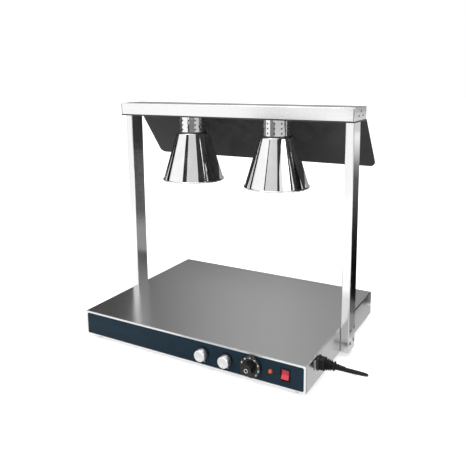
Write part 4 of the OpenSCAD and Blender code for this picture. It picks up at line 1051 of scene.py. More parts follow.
@dataclass
class Studio:
    """A white studio: floor, background, soft lights and the cards that the metal shows."""

    floor_size: float = 30.0
    floor: Colour = (0.82, 0.82, 0.82)
    fill: float = 0.55
    lamps: list[Lamp] = field(default_factory=lambda: [
        Lamp("key", (-0.6, -2.2, 2.6), (0.0, 0.0, 0.2), (2.4, 1.6), 60.0),
        Lamp("overhead", (0.0, 0.3, 2.9), (0.0, 0.0, 0.0), (2.6, 2.0), 38.0),
        Lamp("side", (2.6, -0.9, 1.6), (0.2, 0.0, 0.3), (1.6, 1.6), 18.0),
    ])
    cards: list[Card] = field(default_factory=lambda: [
        Card("grey_front", (-0.08, -0.615), (0.3, -0.33), 0.62, 1.5, 0.78),
        Card("black_far_left_low", (-1.2, 0.08), (-1.2, 0.27), 0.3, 0.6, 0.02),
        Card("black_far_left", (-0.825, -0.167), (-1.2, 0.08), 0.3, 1.6, 0.01),
        Card("black_edge_left", (-1.2, 0.266), (-1.3, 0.6), 0.3, 1.6, 0.01),
        Card("bright_left", round_lamps(-73, 1.9), round_lamps(2, 1.9), 0.0, 2.4, 1.15),
        Card("black_narrow", (-0.46, -1.22), (-0.087, -0.6135), 0.62, 1.5, 0.012),
        Card("black_narrow_low", (-0.413, -1.204), (-0.087, -0.6135), 0.42, 0.525, 0.04),
        Card("grey_low", (-0.1, -0.4), (0.18, -0.27), 0.48, 0.572, 0.25),
        Card("black_right", (0.304, -0.321), (0.3, -0.22), 0.58, 1.1, 0.04),
        Card("black_right_high", (0.3, -0.22), (0.296, -0.07), 0.645, 1.1, 0.04),
        Card("black_right_far", (1.017, -0.137), (1.03, -0.012), 0.6, 1.3, 0.02),
        Card("black_right_back", (1.033, 0.309), (0.995, 0.69), 0.3, 1.6, 0.01),
        Card("behind_right_high", (0.36, 0.35), (0.7, 0.35), 0.54, 0.6, 0.72),
        Card("behind_right", (0.36, 0.35), (0.66, 0.35), 0.0, 0.54, levels=(
            (0.0, 0.06), (0.012, 0.018), (0.035, 0.004), (0.13, 0.002), (0.2, 0.012), (0.26, 0.03),
            (0.32, 0.065), (0.4, 0.11), (0.44, 0.26), (0.475, 0.6), (0.52, 1.0))),
        Card("dark_behind", (0.2, 0.8), (0.56, 0.8), 0.0, 0.4, levels=(
            (0.0, 0.26), (0.02, 0.2), (0.04, 0.1), (0.06, 0.05), (0.2, 0.06), (0.36, 0.07), (0.39, 0.01))),
        Card("over_bar", (-0.8, 0.35), (0.4, 0.35), 0.638, 0.71, 0.3),
        Card("behind_low", (-1.6, 1.25), (1.3, 1.25), 0.2, 0.52, axis=Axis.X, levels=(
            (-1.6, 0.06), (-1.42, 0.07), (-1.3, 0.12), (-1.1, 0.16), (-0.9, 0.2), (-0.7, 0.26), (-0.4, 0.33),
            (1.3, 0.34))),
        Card("behind", (-1.6, 1.25), (1.3, 1.25), 0.52, 2.2, axis=Axis.X, levels=(
            (-1.6, 0.08), (-1.42, 0.11), (-1.3, 0.24), (-1.1, 0.33), (-0.9, 0.42), (-0.7, 0.5), (-0.45, 0.55),
            (-0.1, 0.43), (1.3, 0.43))),
        Card("dark_behind_left", (-3.2, 0.9), (-1.6, 1.25), 0.2, 2.2, 0.08),
    ])
    mats: list[Mat] = field(default_factory=lambda: [
        Mat("grey_floor_behind", (-0.15, 0.36), (0.45, 0.8), 0.32),
        Mat("grey_floor_right", (0.33, -0.4), (0.9, 0.1), 0.72),
        Mat("grey_floor_near", (0.33, 0.1), (0.385, 0.345), 0.6),
        Mat("grey_floor_upright", (0.385, 0.1), (0.9, 0.26), 0.28),
        Mat("dark_floor_upright", (0.385, 0.26), (0.9, 0.345), 0.12),
        Mat("grey_floor_front", (-0.1, -0.48), (0.16, -0.262), 0.85),
    ])

    def build(self) -> None:
        """Makes the whole studio."""
        self._world()
        shape = Shape()
        bmesh.ops.create_grid(shape.bm, x_segments=2, y_segments=2, size=self.floor_size / 2.0)
        shape.finish("studio_floor", self._floor_paint())
        for part in [*self.lamps, *self.cards, *self.mats]:
            part.build()
        bpy.context.scene.view_settings.view_transform = "Standard"

    def _floor_paint(self) -> Material:
        """White where the camera or glass looks at it, apart from the object's shadow.

        Returns:
            The material.
        """
        graph = Graph("floor_paint")
        camera, glossy, glass = graph.rays("Camera", "Glossy", "Transmission")
        away = graph.length(graph.place())
        share = (camera + glass) * (away.ramp(0.8, 2.8) * 0.46 + 0.54) + glossy * 0.2
        mottle = graph.noise(graph.place(), 3.0, 2.0)
        paint = graph.mix(mottle, self.floor, toned(self.floor, 1.01))
        matte = graph.node("ShaderNodeBsdfDiffuse", inputs={"Color": paint})
        both = graph.node("ShaderNodeAddShader", inputs={0: matte, 1: graph.glow((1.0, 1.0, 1.0))})
        graph.node_output(graph.node("ShaderNodeMixShader", inputs={0: share, 1: matte, 2: both}))
        return graph.owner

    def _world(self) -> None:
        """White to the camera, metal and glass, and a softer fill for everything else."""
        graph = Graph("white_studio", world=True)
        camera, glossy, glass = graph.rays("Camera", "Glossy", "Transmission")
        strength = (camera + glossy + glass) * (1.0 - self.fill) + self.fill
        sky = graph.node("ShaderNodeBackground", inputs={"Color": (1.0, 1.0, 1.0), "Strength": strength})
        graph.node_output(sky, "ShaderNodeOutputWorld")
        bpy.context.scene.world = graph.owner


@dataclass
class MainsLead(Assembly):
    """The lead from the connector's relief, under the base, to its coil and plug behind it.

    All sizes but the diameter are in millimetres. The coil winds inwards in its lower layer and outwards in its
    upper one, and its outermost turn meets the lane, the X at which the lead comes from under the base.
    """

    diameter: float = 0.007
    start: tuple[float, float, float] = (389.0, -159.0, 54.0)
    route: tuple[tuple[float, float, float], ...] = (
        (397, -159, 54), (409.2, -156.9, 52.7), (419.6, -151, 49.1), (426.6, -142.2, 43.7),
        (429, -131.7, 37.3), (427.6, -120.4, 30.3), (421.5, -106.1, 21.5), (409.5, -92.5, 13.2),
        (391, -81.9, 6.7), (368, -77.5, 4), (346, -77, 3.7), (325, -76, 3.7), (308, -73, 3.7), (291, -67, 3.7),
        (275, -57.5, 3.7), (260, -45.5, 3.7), (247, -31, 3.7), (236.5, -14.5, 3.7), (228, 3, 3.7),
        (221, 21.5, 3.7), (215, 40, 3.7), (210, 59, 3.7), (205.8, 78, 3.7), (202.5, 97, 3.7),
        (199.8, 116, 3.7), (197.6, 135.5, 3.7), (196.1, 155, 3.7), (195.3, 175, 3.7), (195, 203, 3.7),
        (195, 235, 3.7), (195, 265, 3.7), (195, 294, 4.2), (195, 312, 4.6),
    )
    turns: float = 4.25
    rings: int = 24
    inner: float = 28.5
    step: float = 7.6
    low: float = 4.6
    lane: float = 195.0
    coil_y: float = 319.0
    plug_run: tuple[tuple[float, float], ...] = (
        (7, 12.2), (20, 12.8), (34.2, 15.6), (48, 17.9), (55.2, 18.2), (60, 18.2))
    strap: tuple[tuple[float, float, float], ...] = ((27.6, -4.0, 0.25), (45.9, 4.0, 16.7))
    strap_angle: float = 225.0

    @property
    def outer(self) -> float:
        """The coil's radius where the lead joins and leaves it, in millimetres."""
        return self.inner + self.step * self.turns / 2.0

    def _coil(self) -> list[tuple[float, float, float]]:
        """Points of the coil, which winds inwards below and outwards above.

        Returns:
            The points, in millimetres.
        """
        cx, cy = self.lane - self.outer, self.coil_y
        half = 180.0 * self.turns
        points = []
        for i in range(int(self.turns * self.rings) + 1):
            angle = i * 360.0 / self.rings
            radius = self.inner + self.step * abs(angle - half) / 360.0
            rise = min(1.0, max(0.0, (angle - half + 90.0) / 180.0))
            a = math.radians(angle)
            points.append((cx + radius * math.cos(a), cy + radius * math.sin(a), self.low + self.step * rise))
        return points

    def path(self) -> list[Vector]:
        """The whole centreline.

        Returns:
            The points, in metres.
        """
        tail = [(self.lane - self.outer - d, self.coil_y + self.outer, z) for d, z in self.plug_run]
        rough = [Vector(p) * MM for p in [self.start, *self.route, *self._coil(), *tail]]
        return self._eased(rough)

    @staticmethod
    def _eased(points: Sequence[Vector]) -> list[Vector]:
        """Adds a point between each two, on the smooth curve through them.

        Args:
            points: the rough centreline.

        Returns:
            The smooth centreline.
        """
        smooth = [points[0]]
        for i in range(len(points) - 1):
            a, b = points[max(0, i - 1)], points[i]
            c, d = points[i + 1], points[min(len(points) - 1, i + 2)]
            smooth += [(9.0 * (b + c) - a - d) / 16.0, c]
        return smooth

    def build(self) -> None:
        """Makes the lead and its tie, and logs the lead's length."""
        line = self.path()
        curve = bpy.data.curves.new("mains_lead", "CURVE")
        curve.dimensions = "3D"
        curve.bevel_depth = self.diameter / 2.0
        curve.bevel_resolution = 4
        curve.use_fill_caps = True
        spline = curve.splines.new("POLY")
        spline.points.add(len(line) - 1)
        for point, place in zip(spline.points, line):
            point.co = (*place, 1.0)
        spline.use_smooth = True
        lead = bpy.data.objects.new("mains_lead", curve)
        bpy.context.scene.collection.objects.link(lead)
        curve.materials.append(self.shop.finishes["cord_black"])
        self.shop.fit(lead, Body.STATION, "cord_black", "cord_free", "cord_coil")
        tie = self._tie()
        length = sum((b - a).length for a, b in zip(line, line[1:]))
        log.info("mains lead is %.3f m long", length)

    def _tie(self) -> bpy.types.Object:
        """The strap round the coil's turns.

        Returns:
            The strap.
        """
        middle = Vector((self.lane - self.outer, self.coil_y, 0.0)) * MM
        shape = Shape()
        shape.block(*mm(self.strap))
        ends = [f for f in shape.bm.faces if abs(f.normal.y) > 0.9]
        bmesh.ops.delete(shape.bm, geom=ends, context="FACES_ONLY")
        shape.bevel(shape.edges_where(lambda a, b: abs(a.y - b.y) > 4 * MM), 3 * MM, 4)
        bmesh.ops.solidify(shape.bm, geom=shape.bm.faces[:], thickness=0.7 * MM)
        shape.outwards()
        turn = Matrix.Translation(middle) @ Matrix.Rotation(math.radians(self.strap_angle), 4, "Z")
        bmesh.ops.transform(shape.bm, matrix=turn, verts=shape.bm.verts)
        return self.shop.add(shape, "coil_tie", "cord_black")


# ---------------------------------------------------------------- base


@dataclass
class Base(Assembly):
    """The heated base: folded top shell, its seams and its feet, whose radius is in millimetres."""

    sheet: float = 1.2 * MM
    fold: float = 2.5 * MM
    foot_radius: float = 13.0

    def build(self) -> None:
        """Makes the shell, its seams and the feet."""
        self._shell()
        self._seams()
        self._feet()

    def _seams(self) -> None:
        """The dark joint between the front panel and each skirt."""
        low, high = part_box("top_shell")
        shape = Shape()
        for x in (low.x, high.x):
            shape.block((x - PROUD, low.y + 0.3 * MM, low.z + 1 * MM), (x + PROUD, low.y + 2.1 * MM, high.z - 3 * MM))
        shape.bevel(shape.sharp_edges(), PROUD / 2.0, 1)
        self.shop.add(shape, "side_seams", "dark_ink_and_shade", slot="black_plastic")

    def _shell(self) -> None:
        """The top plate and both skirts, folded from one sheet."""
        low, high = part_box("top_shell")
        section = [(low.x, low.y, low.z), (low.x, low.y, high.z), (high.x, low.y, high.z), (high.x, low.y, low.z)]
        shape = Shape().sweep(section, (0.0, high.y - low.y, 0.0))
        folds = [e for e in shape.level_edges(2, high.z) if abs(e.verts[0].co.x - e.verts[1].co.x) < TOUCH]
        shape.bevel(folds, self.fold, 6).thicken(self.sheet)
        shape.bevel(shape.sharp_edges(1.2), 0.25 * MM, 2)
        self.shop.add(shape, "base_shell", "top_steel", "top_shell")

    def _feet(self) -> None:
        """Four rubber feet."""
        low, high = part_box("feet")
        r, top = self.foot_radius, (high.z - low.z) / MM
        profile = mm([(5, 0), (r - 3.2, 0), (r - 2.2, 0.5), (r - 1.5, 1.4), (r - 0.5, top - 3.5),
                      (r - 0.2, top - 1.5), (r - 0.6, top - 0.6), (r - 1.2, top), (2.3, top), (2.3, 5), (5, 5)])
        inset = r * MM
        shape = Shape()
        for x in (low.x + inset, high.x - inset):
            for y in (low.y + inset, high.y - inset):
                shape.spin(profile, (x, y, low.z), Axis.Z, 48, closed=True)
        self.shop.add(shape, "rubber_feet", "foot_rubber", "feet")


@dataclass
class Inlet(Assembly):
    """The fuse drawer of the mains inlet, and the plugged-in connector.

    The connector's sections give distance, width and height, and its relief's give radius and distance, all in
    millimetres from the inlet's face.
    """

    corner: float = 3.2 * MM
    sections: tuple[tuple[float, float, float], ...] = (
        (0.0, 19.0, 27.0), (0.6, 20.0, 28.0), (13.0, 20.0, 28.0), (14.0, 19.0, 27.0), (14.6, 14.0, 19.0),
        (16.4, 14.0, 19.0), (17.2, 18.0, 23.5), (19.4, 18.0, 23.5), (20.0, 13.8, 17.8), (21.8, 13.6, 17.2),
        (22.4, 17.0, 21.5), (24.4, 17.0, 21.5), (25.0, 13.0, 16.0), (26.9, 12.8, 15.6), (27.4, 16.0, 20.0),
        (29.2, 16.0, 20.0), (29.8, 12.2, 14.6), (33.0, 12.2, 14.6), (33.6, 17.0, 19.0), (36.2, 17.0, 19.0),
        (36.5, 15.5, 17.5))
    relief: tuple[tuple[float, float], ...] = (
        (0.0, 35.9), (7.4, 35.9), (7.7, 36.4), (7.7, 38.6), (7.2, 39.1), (4.9, 39.4), (4.8, 41.2), (6.9, 41.5),
        (7.1, 42.0), (7.1, 43.8), (6.6, 44.2), (4.6, 44.5), (4.5, 46.2), (6.3, 46.5), (6.5, 47.0), (6.5, 48.6),
        (6.0, 49.0), (4.4, 49.3), (4.3, 51.0), (5.7, 51.3), (5.9, 51.8), (5.9, 53.3), (5.4, 53.7), (4.2, 54.0),
        (4.2, 55.6), (5.2, 55.9), (5.4, 56.4), (5.4, 57.8), (5.0, 58.2), (4.3, 58.5), (4.2, 61.4), (3.4, 61.5),
        (0.0, 61.5))

    def build(self) -> None:
        """Makes the fuse drawer's face and the connector's moulding."""
        self._drawer()
        self._connector()

    def _drawer(self) -> None:
        """The fuse drawer's face, with the lip that a screwdriver lifts and the slot beside it."""
        low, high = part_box("fuse_drawer")
        shell_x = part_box("top_shell")[1].x
        shape = Shape()
        shape.block((shell_x, low.y, low.z), (high.x, high.y, high.z))
        shape.bevel(shape.sharp_edges(), 0.5 * MM, 3)
        mid = (low + high) / 2.0
        shape.block((high.x - 0.3 * MM, mid.y - 2 * MM, high.z - 6 * MM),
                    (high.x + 0.3 * MM, mid.y + 2 * MM, high.z - 4.4 * MM))
        shape.block((low.x, mid.y - 3.4 * MM, mid.z - 10.5 * MM), (shell_x, mid.y + 3.4 * MM, mid.z + 10.5 * MM))
        self.shop.add(shape, "fuse_drawer_face", "drawer_grey", "fuse_drawer", slot="black_plastic")
        slot = Shape()
        slot.block((high.x - 0.5 * MM, low.y + 0.9 * MM, low.z + 1.2 * MM),
                   (high.x + 0.05 * MM, low.y + 3.1 * MM, high.z - 1.2 * MM))
        slot.bevel(slot.sharp_edges(), 0.2 * MM, 2)
        self.shop.add(slot, "fuse_drawer_slot", "dark_ink_and_shade", slot="black_plastic")

    def _connector(self) -> None:
        """The moulded connector with its ribbed relief."""
        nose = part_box("mains_connector")[0].x
        mid = centre_of("mains_connector")
        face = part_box("mains_inlet")[1].x
        start = (face, mid.y, mid.z)
        shape = Shape()
        shape.loft(mm(self.sections), start, self.corner)
        shape.spin(mm(self.relief), start, Axis.X, 40)
        shape.block((nose, mid.y - 8.2 * MM, mid.z - 12 * MM), (face, mid.y + 8.2 * MM, mid.z + 12 * MM))
        self.shop.add(shape, "connector_moulding", "cord_black", "mains_connector")


# ---------------------------------------------------------------- controls


@dataclass
class LampKnob(Assembly):
    """A turned bright knob, with a dark ring behind it that is painted shadow round its foot, and a mark that points
    down at rest.

    Its profile and its ring's section give radius and distance from the face. They and its back are in
    millimetres, and the profile's distances are stretched from the length that it was drawn for.
    """

    node: str
    body: Body
    colour: Colour = (0.88, 0.88, 0.88)
    roughness: float = 0.26
    drawn_length: float = 19.5
    profile: tuple[tuple[float, float], ...] = (
        (0.0, 0.55), (8.6, 0.5), (9.0, 0.3), (9.5, 0.5), (10.4, 0.4), (11.2, 0.0), (12.2, 0.0), (13.5, 0.3),
        (14.1, 0.9), (14.4, 1.8), (15.1, 12.0), (15.3, 15.8), (15.3, 19.3), (15.1, 19.5))
    bore: float = 3.1
    recess: float = 9.6
    recess_depth: float = 4.4
    # ring: the section of the dark collar at the knob's back, a painted shadow on the panel
    ring: tuple[tuple[float, float], ...] = (
        (15.1, 15.4), (15.8, 15.4), (16.0, 15.7), (16.0, 19.0), (15.6, 19.4), (15.1, 19.4))

    def build(self) -> None:
        """Makes the knob, its mark and the dark ring behind it, a painted shadow."""
        low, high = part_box(self.node)
        mid = (low + high) / 2.0
        length = high.y - low.y
        face = low.y
        points = [(rad, d * length / (self.drawn_length * MM)) for rad, d in self.profile]
        back = points[-1][1]
        floor = back - self.recess_depth
        points += [(self.recess, back), (self.recess, floor), (self.bore, floor), (0.0, floor)]
        shape = Shape()
        shape.spin(mm(points), (mid.x, face, mid.z), Axis.Y, 128)
        metal = f"{self.node}_metal"
        self.shop.finishes[metal] = TurnedMetal(metal, self.colour, (mid.x, 0.0, mid.z), self.roughness).build()
        self.shop.add(shape, self.node + "_turned", metal, self.node, slot="knob_chrome", body=self.body, smooth=0.5)
        # painted shadow: a dark ring round the knob's foot
        ring = Shape()
        ring.spin(mm(self.ring), (mid.x, face, mid.z), Axis.Y, 96, closed=True)
        self.shop.add(ring, self.node + "_ring", "switch_black", slot="knob_black", body=self.body)
        mark = Shape()
        mark.block((mid.x - 0.45 * MM, face - 0.02 * MM, mid.z - 12.6 * MM),
                   (mid.x + 0.45 * MM, face + 0.6 * MM, mid.z - 9.6 * MM))
        mark.bevel(mark.sharp_edges(), 0.15 * MM, 2)
        self.shop.add(mark, self.node + "_mark", "dark_ink_and_shade", slot="knob_chrome", body=self.body)


@dataclass
class Thermostat(Assembly):
    """The numbered dial, the fluted grip and its bright ring, with most sizes in millimetres."""

    bore: float = 9.02
    skirt: float = 2.4
    flutes: int = 12
    flute_depth: float = 0.055
    grip_depth: float = 19.2
    inlay: tuple[tuple[float, float], ...] = (
        (3.4, 0.5), (3.4, 0.1), (3.6, -0.1), (4.8, -0.1), (5.0, 0.1), (5.0, 0.5))
    numbers: tuple[str, ...] = ("30", "40", "50", "60", "70", "80", "90")
    first_angle: float = 158.0
    step: float = 34.0
    letter: float = 7.0 * MM

    def build(self) -> None:
        """Makes the dial, the grip, the ring and the numbers."""
        low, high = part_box("thermostat_dial")
        mid = (low + high) / 2.0
        r = (high.x - low.x) / 2.0
        face = low.y
        edge, back = r / MM, (high.y - face) / MM
        profile = [(self.bore, 0.0), (edge - 9, 0.0), (edge - 1.6, 0.62), (edge - 0.7, 0.95), (edge - 0.2, 1.5),
                   (edge, 2.3), (edge, back - 0.3), (edge - 0.3, back), (edge - 1.8, back), (edge - 2, self.skirt),
                   (self.bore, self.skirt)]
        shape = Shape()
        shape.spin(mm(profile), (mid.x, face, mid.z), Axis.Y, 128, closed=True)
        self.shop.add(shape, "dial_skirt", "knob_black", "thermostat_dial", body=Body.THERMOSTAT, smooth=0.5)
        self._grip(mid)
        self._ring(mid)
        self._numbers(mid, face, r)

    def _grip(self, mid: Vector) -> None:
        """The grip, with shallow flutes round it.

        Args:
            mid: the middle of the dial.
        """
        low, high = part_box("thermostat_knob")
        r = (high.x - low.x) / 2.0
        front = low.y
        edge, depth = r / MM, self.grip_depth
        profile = [(0.0, 0.5), (5.02, 0.5), (5.02, 0.0), (edge - 2.6, 0.0), (edge - 1.7, 0.25), (edge - 1.2, 0.8),
                   (edge - 0.9, 2.0), (edge - 0.4, 12.0), (edge, 16.5), (edge, depth), (9.0, depth),
                   (9.0, depth + 2.2), (3.1, depth + 2.2), (0.0, depth + 2.2)]
        shape = Shape()
        shape.spin(mm(profile), (mid.x, front, mid.z), Axis.Y, self.flutes * 12)
        fluted = (depth - 2.6) * MM
        for vert in shape.bm.verts:
            rel = Vector((vert.co.x - mid.x, 0.0, vert.co.z - mid.z))
            along = vert.co.y - front
            if rel.length > r - 2.0 * MM and along < fluted:
                wave = 0.5 - 0.5 * math.cos(self.flutes * math.atan2(rel.z, rel.x))
                fade = min(1.0, (fluted - along) / (4.0 * MM))
                rel *= 1.0 - self.flute_depth * wave ** 2 * fade
                vert.co.x, vert.co.z = mid.x + rel.x, mid.z + rel.z
        self.shop.add(shape, "dial_grip", "knob_black", "thermostat_knob", body=Body.THERMOSTAT, smooth=0.5)

    def _ring(self, mid: Vector) -> None:
        """The bright ring in the grip's face.

        Args:
            mid: the middle of the dial.
        """
        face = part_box("knob_inlay")[0].y
        shape = Shape()
        shape.spin(mm(self.inlay), (mid.x, face, mid.z), Axis.Y, 64, closed=True)
        self.shop.add(shape, "dial_ring", "inlay_bright", "knob_inlay", body=Body.THERMOSTAT)

    def _numbers(self, mid: Vector, face: float, r: float) -> None:
        """Plain numbers over the top of the dial, with a dot between each two.

        Args:
            mid: the middle of the dial.
            face: the Y of the dial's face.
            r: the dial's radius.
        """
        shape = Shape()
        place = r - 6.1 * MM
        for i, words in enumerate(self.numbers):
            angle = math.radians(self.first_angle - i * self.step)
            text = bpy.data.curves.new("number", "FONT")
            text.body = words
            text.size = self.letter
            text.align_x = text.align_y = "CENTER"
            text.extrude = PROUD
            text.offset = 0.12 * MM
            carrier = bpy.data.objects.new("number", text)
            mesh = bpy.data.meshes.new_from_object(carrier)
            stand = Matrix.Rotation(math.pi / 2.0, 4, "X")
            lean = Matrix.Rotation(-angle, 4, "Y")
            spot = Vector((mid.x + place * math.cos(angle), face + 0.32 * MM, mid.z + place * math.sin(angle)))
            mesh.transform(Matrix.Translation(spot) @ lean @ stand)
            shape.bm.from_mesh(mesh)
            bpy.data.objects.remove(carrier)
            bpy.data.curves.remove(text)
            bpy.data.meshes.remove(mesh)
        place += 0.6 * MM
        for i in range(len(self.numbers) - 1):
            angle = math.radians(self.first_angle - (i + 0.5) * self.step)
            spot = Vector((mid.x + place * math.cos(angle), face + 0.3 * MM, mid.z + place * math.sin(angle)))
            turn = Matrix.Translation(spot) @ Matrix.Rotation(math.pi / 2.0, 4, "X")
            bmesh.ops.create_circle(shape.bm, cap_ends=True, radius=0.9 * MM, segments=16, matrix=turn)
        self.shop.add(shape, "dial_numbers", "white_ink", slot="inlay_bright", body=Body.THERMOSTAT)


@dataclass
class PanelFittings(Assembly):
    """The pilot lens, the rocker switch and the white dots below the lamp knobs.

    The rocker's own sizes are in millimetres, and its lean at rest is in degrees.
    """

    dot_drop: float = 21.0 * MM
    dot_step: float = 3.2 * MM
    cell: float = 9.9 * MM
    cell_depth: float = 13.5 * MM
    rocker_half: float = 11.2
    rocker_lip: float = 4.9
    rocker_dip: float = 2.6
    rocker_inset: float = 1.4
    rocker_pivot: tuple[float, float, float] = (0.0, -234.0, 47.0)
    rocker_lean: float = -12.0

    def build(self) -> None:
        """Makes the fittings."""
        self._pilot()
        self._switch()
        self._dots()

    def _pilot(self) -> None:
        """The domed lens with its flange."""
        low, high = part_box("pilot_lens")
        mid = (low + high) / 2.0
        r = (high.x - low.x) / 2.0
        reach = high.y - low.y
        dome = [(rad, reach - d) for rad, d in arc((0.0, 1.2 * MM), reach - 1.2 * MM, 90, 6, 12)]
        profile = [*dome, (r - 0.25 * MM, reach - 1.1 * MM), (r, reach - 0.8 * MM), (r, reach), (0.0, reach)]
        shape = Shape()
        shape.spin(profile, (mid.x, low.y, mid.z), Axis.Y, 64)
        self.shop.add(shape, "pilot_dome", "pilot_orange", "pilot_lens")

    def _switch(self) -> None:
        """The switch's frame and its rocker."""
        low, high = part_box("rocker_housing")
        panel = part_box("control_overlay")[0].y
        shape = Shape()
        shape.block(low, (high.x, panel, high.z))
        shape.bevel(shape.edges_where(lambda a, b: abs(a.y - b.y) > 1e-4), 2.0 * MM, 5)
        front = next(f for f in shape.bm.faces if f.normal.y < -0.9)
        back = next(f for f in shape.bm.faces if f.normal.y > 0.9)
        bmesh.ops.delete(shape.bm, geom=[back], context="FACES_ONLY")
        bmesh.ops.inset_region(shape.bm, faces=[front], thickness=(high.x - low.x) / 2.0 - self.cell, depth=0.0)
        shape.grow(front, (0.0, self.cell_depth, 0.0))
        bmesh.ops.delete(shape.bm, geom=[front], context="FACES_ONLY")
        rim = [e for e in shape.sharp_edges(1.0) if all(abs(v.co.y - low.y) < TOUCH for v in e.verts)]
        shape.bevel(rim, 0.5 * MM, 3)
        self.shop.add(shape, "switch_frame", "switch_black", "rocker_housing", slot="black_plastic")
        self._rocker()

    def _rocker(self) -> None:
        """The rocker, a shallow V in side view whose upper half is pressed in at rest."""
        low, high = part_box("rocker_button")
        half, lip, dip, inset = self.rocker_half, self.rocker_lip, self.rocker_dip, self.rocker_inset * MM
        x0, x1 = low.x + inset, high.x - inset
        profile = [(-lip, half), (dip - lip, 0.0), (-lip, -half), (2.0, 1.2 - half), (3.4, -3.0), (3.4, 3.0),
                   (2.0, half - 1.2)]
        shape = Shape()
        verts = [shape.bm.verts.new((x0, y, z)) for y, z in mm(profile)]
        shape.grow(shape.bm.faces.new(verts), (x1 - x0, 0.0, 0.0))
        shape.outwards()
        shape.bevel(shape.sharp_edges(0.5), 0.7 * MM, 3)
        valley = [e for e in shape.level_edges(2, 0.0) if max(v.co.y for v in e.verts) < -MM]
        shape.bevel(valley, 2.4 * MM, 5)
        pivot = Vector(self.rocker_pivot) * MM
        turn = Matrix.Translation(pivot) @ Matrix.Rotation(math.radians(self.rocker_lean), 4, "X")
        bmesh.ops.transform(shape.bm, matrix=turn, verts=shape.bm.verts)
        self.shop.add(shape, "switch_rocker", "rocker_red", "rocker_button", body=Body.ROCKER, smooth=0.7)

    def _dots(self) -> None:
        """The dot below each lamp knob."""
        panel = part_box("control_overlay")[0].y
        shape = Shape()
        for node in ("left_lamp_knob", "right_lamp_knob"):
            mid = centre_of(node)
            spot = Vector((mid.x + self.dot_step, panel - 0.08 * MM, mid.z - self.dot_drop))
            turn = Matrix.Translation(spot) @ Matrix.Rotation(math.pi / 2.0, 4, "X")
            bmesh.ops.create_cone(shape.bm, cap_ends=True, radius1=1.3 * MM, radius2=1.2 * MM, depth=0.2 * MM,
                                  segments=24, matrix=turn)
        self.shop.add(shape, "panel_dots", "white_ink", slot="inlay_bright")


# ---------------------------------------------------------------- uprights, bar and guard


@dataclass
class Frame(Assembly):
    """The two uprights and the bar with its end caps, and the dark joints between bar and caps."""

    wall: float = 1.5 * MM
    corner: float = 2.5 * MM
    width: float = 22.0 * MM
    hollow: float = 0.5
    seam: float = 2.0 * MM
    bar_sheet: float = 1.2 * MM

    def build(self) -> None:
        """Makes the uprights, the bar, its end caps and the joints between them."""
        self._uprights()
        self._bar()
        self._end_caps()
        self._seams()

    def _seams(self) -> None:
        """The dark joint between the bar's cover and each end cap, in front and on top."""
        low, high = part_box("end_caps")
        shape = Shape()
        for x in (low.x + self.wall, high.x - self.wall - self.seam):
            end, fold = x + self.seam, self.corner - 0.1 * MM
            shape.block((x, low.y - PROUD, low.z + 0.5 * MM), (end, low.y + PROUD, high.z - fold))
            shape.block((x, low.y + fold, high.z - PROUD), (end, high.y - fold, high.z + PROUD))
        shape.bevel(shape.sharp_edges(), PROUD / 2.0, 1)
        self.shop.add(shape, "bar_seams", "dark_ink_and_shade", slot="black_plastic")

    def _uprights(self) -> None:
        """Rectangular tubes with rounded edges, open at the bottom."""
        low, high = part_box("uprights")
        for name, x0 in (("upright_left", low.x), ("upright_right", high.x - self.width)):
            shape = Shape()
            shape.block((x0, low.y, low.z), (x0 + self.width, high.y, high.z))
            shape.bevel(shape.edges_where(lambda a, b: abs(a.z - b.z) > 0.1), self.corner, 6)
            bottom = min(shape.bm.faces, key=lambda f: f.calc_center_median().z)
            bmesh.ops.inset_region(shape.bm, faces=[bottom], thickness=self.wall, depth=0.0)
            shape.grow(bottom, (0.0, 0.0, self.hollow))
            bmesh.ops.delete(shape.bm, geom=[bottom], context="FACES")
            shape.outwards()
            self.shop.add(shape, name, "upright_steel", "uprights")

    def _bar(self) -> None:
        """The folded cover over the lamps."""
        low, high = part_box("bar_housing")
        section = [(low.x, low.y, low.z), (low.x, low.y, high.z), (low.x, high.y, high.z), (low.x, high.y, low.z)]
        shape = Shape().sweep(section, (high.x - low.x, 0.0, 0.0))
        folds = [e for e in shape.level_edges(2, high.z) if abs(e.verts[0].co.y - e.verts[1].co.y) < TOUCH]
        shape.bevel(folds, self.corner, 6).thicken(self.bar_sheet)
        self.shop.add(shape, "bar_cover", "bar_steel", "bar_housing")

    def _end_caps(self) -> None:
        """The plates that close the bar's ends."""
        low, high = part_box("end_caps")
        shape = Shape()
        for x0, x1 in ((low.x, low.x + self.wall), (high.x - self.wall, high.x)):
            shape.block((x0, low.y, low.z), (x1, high.y, high.z))
        shape.bevel(shape.edges_where(lambda a, b: abs(a.x - b.x) > 1e-3 and a.z > high.z - 1e-4), self.corner, 6)
        shape.bevel(shape.sharp_edges(1.0), 0.3 * MM, 2)
        self.shop.add(shape, "bar_end_caps", "bar_steel", "end_caps")


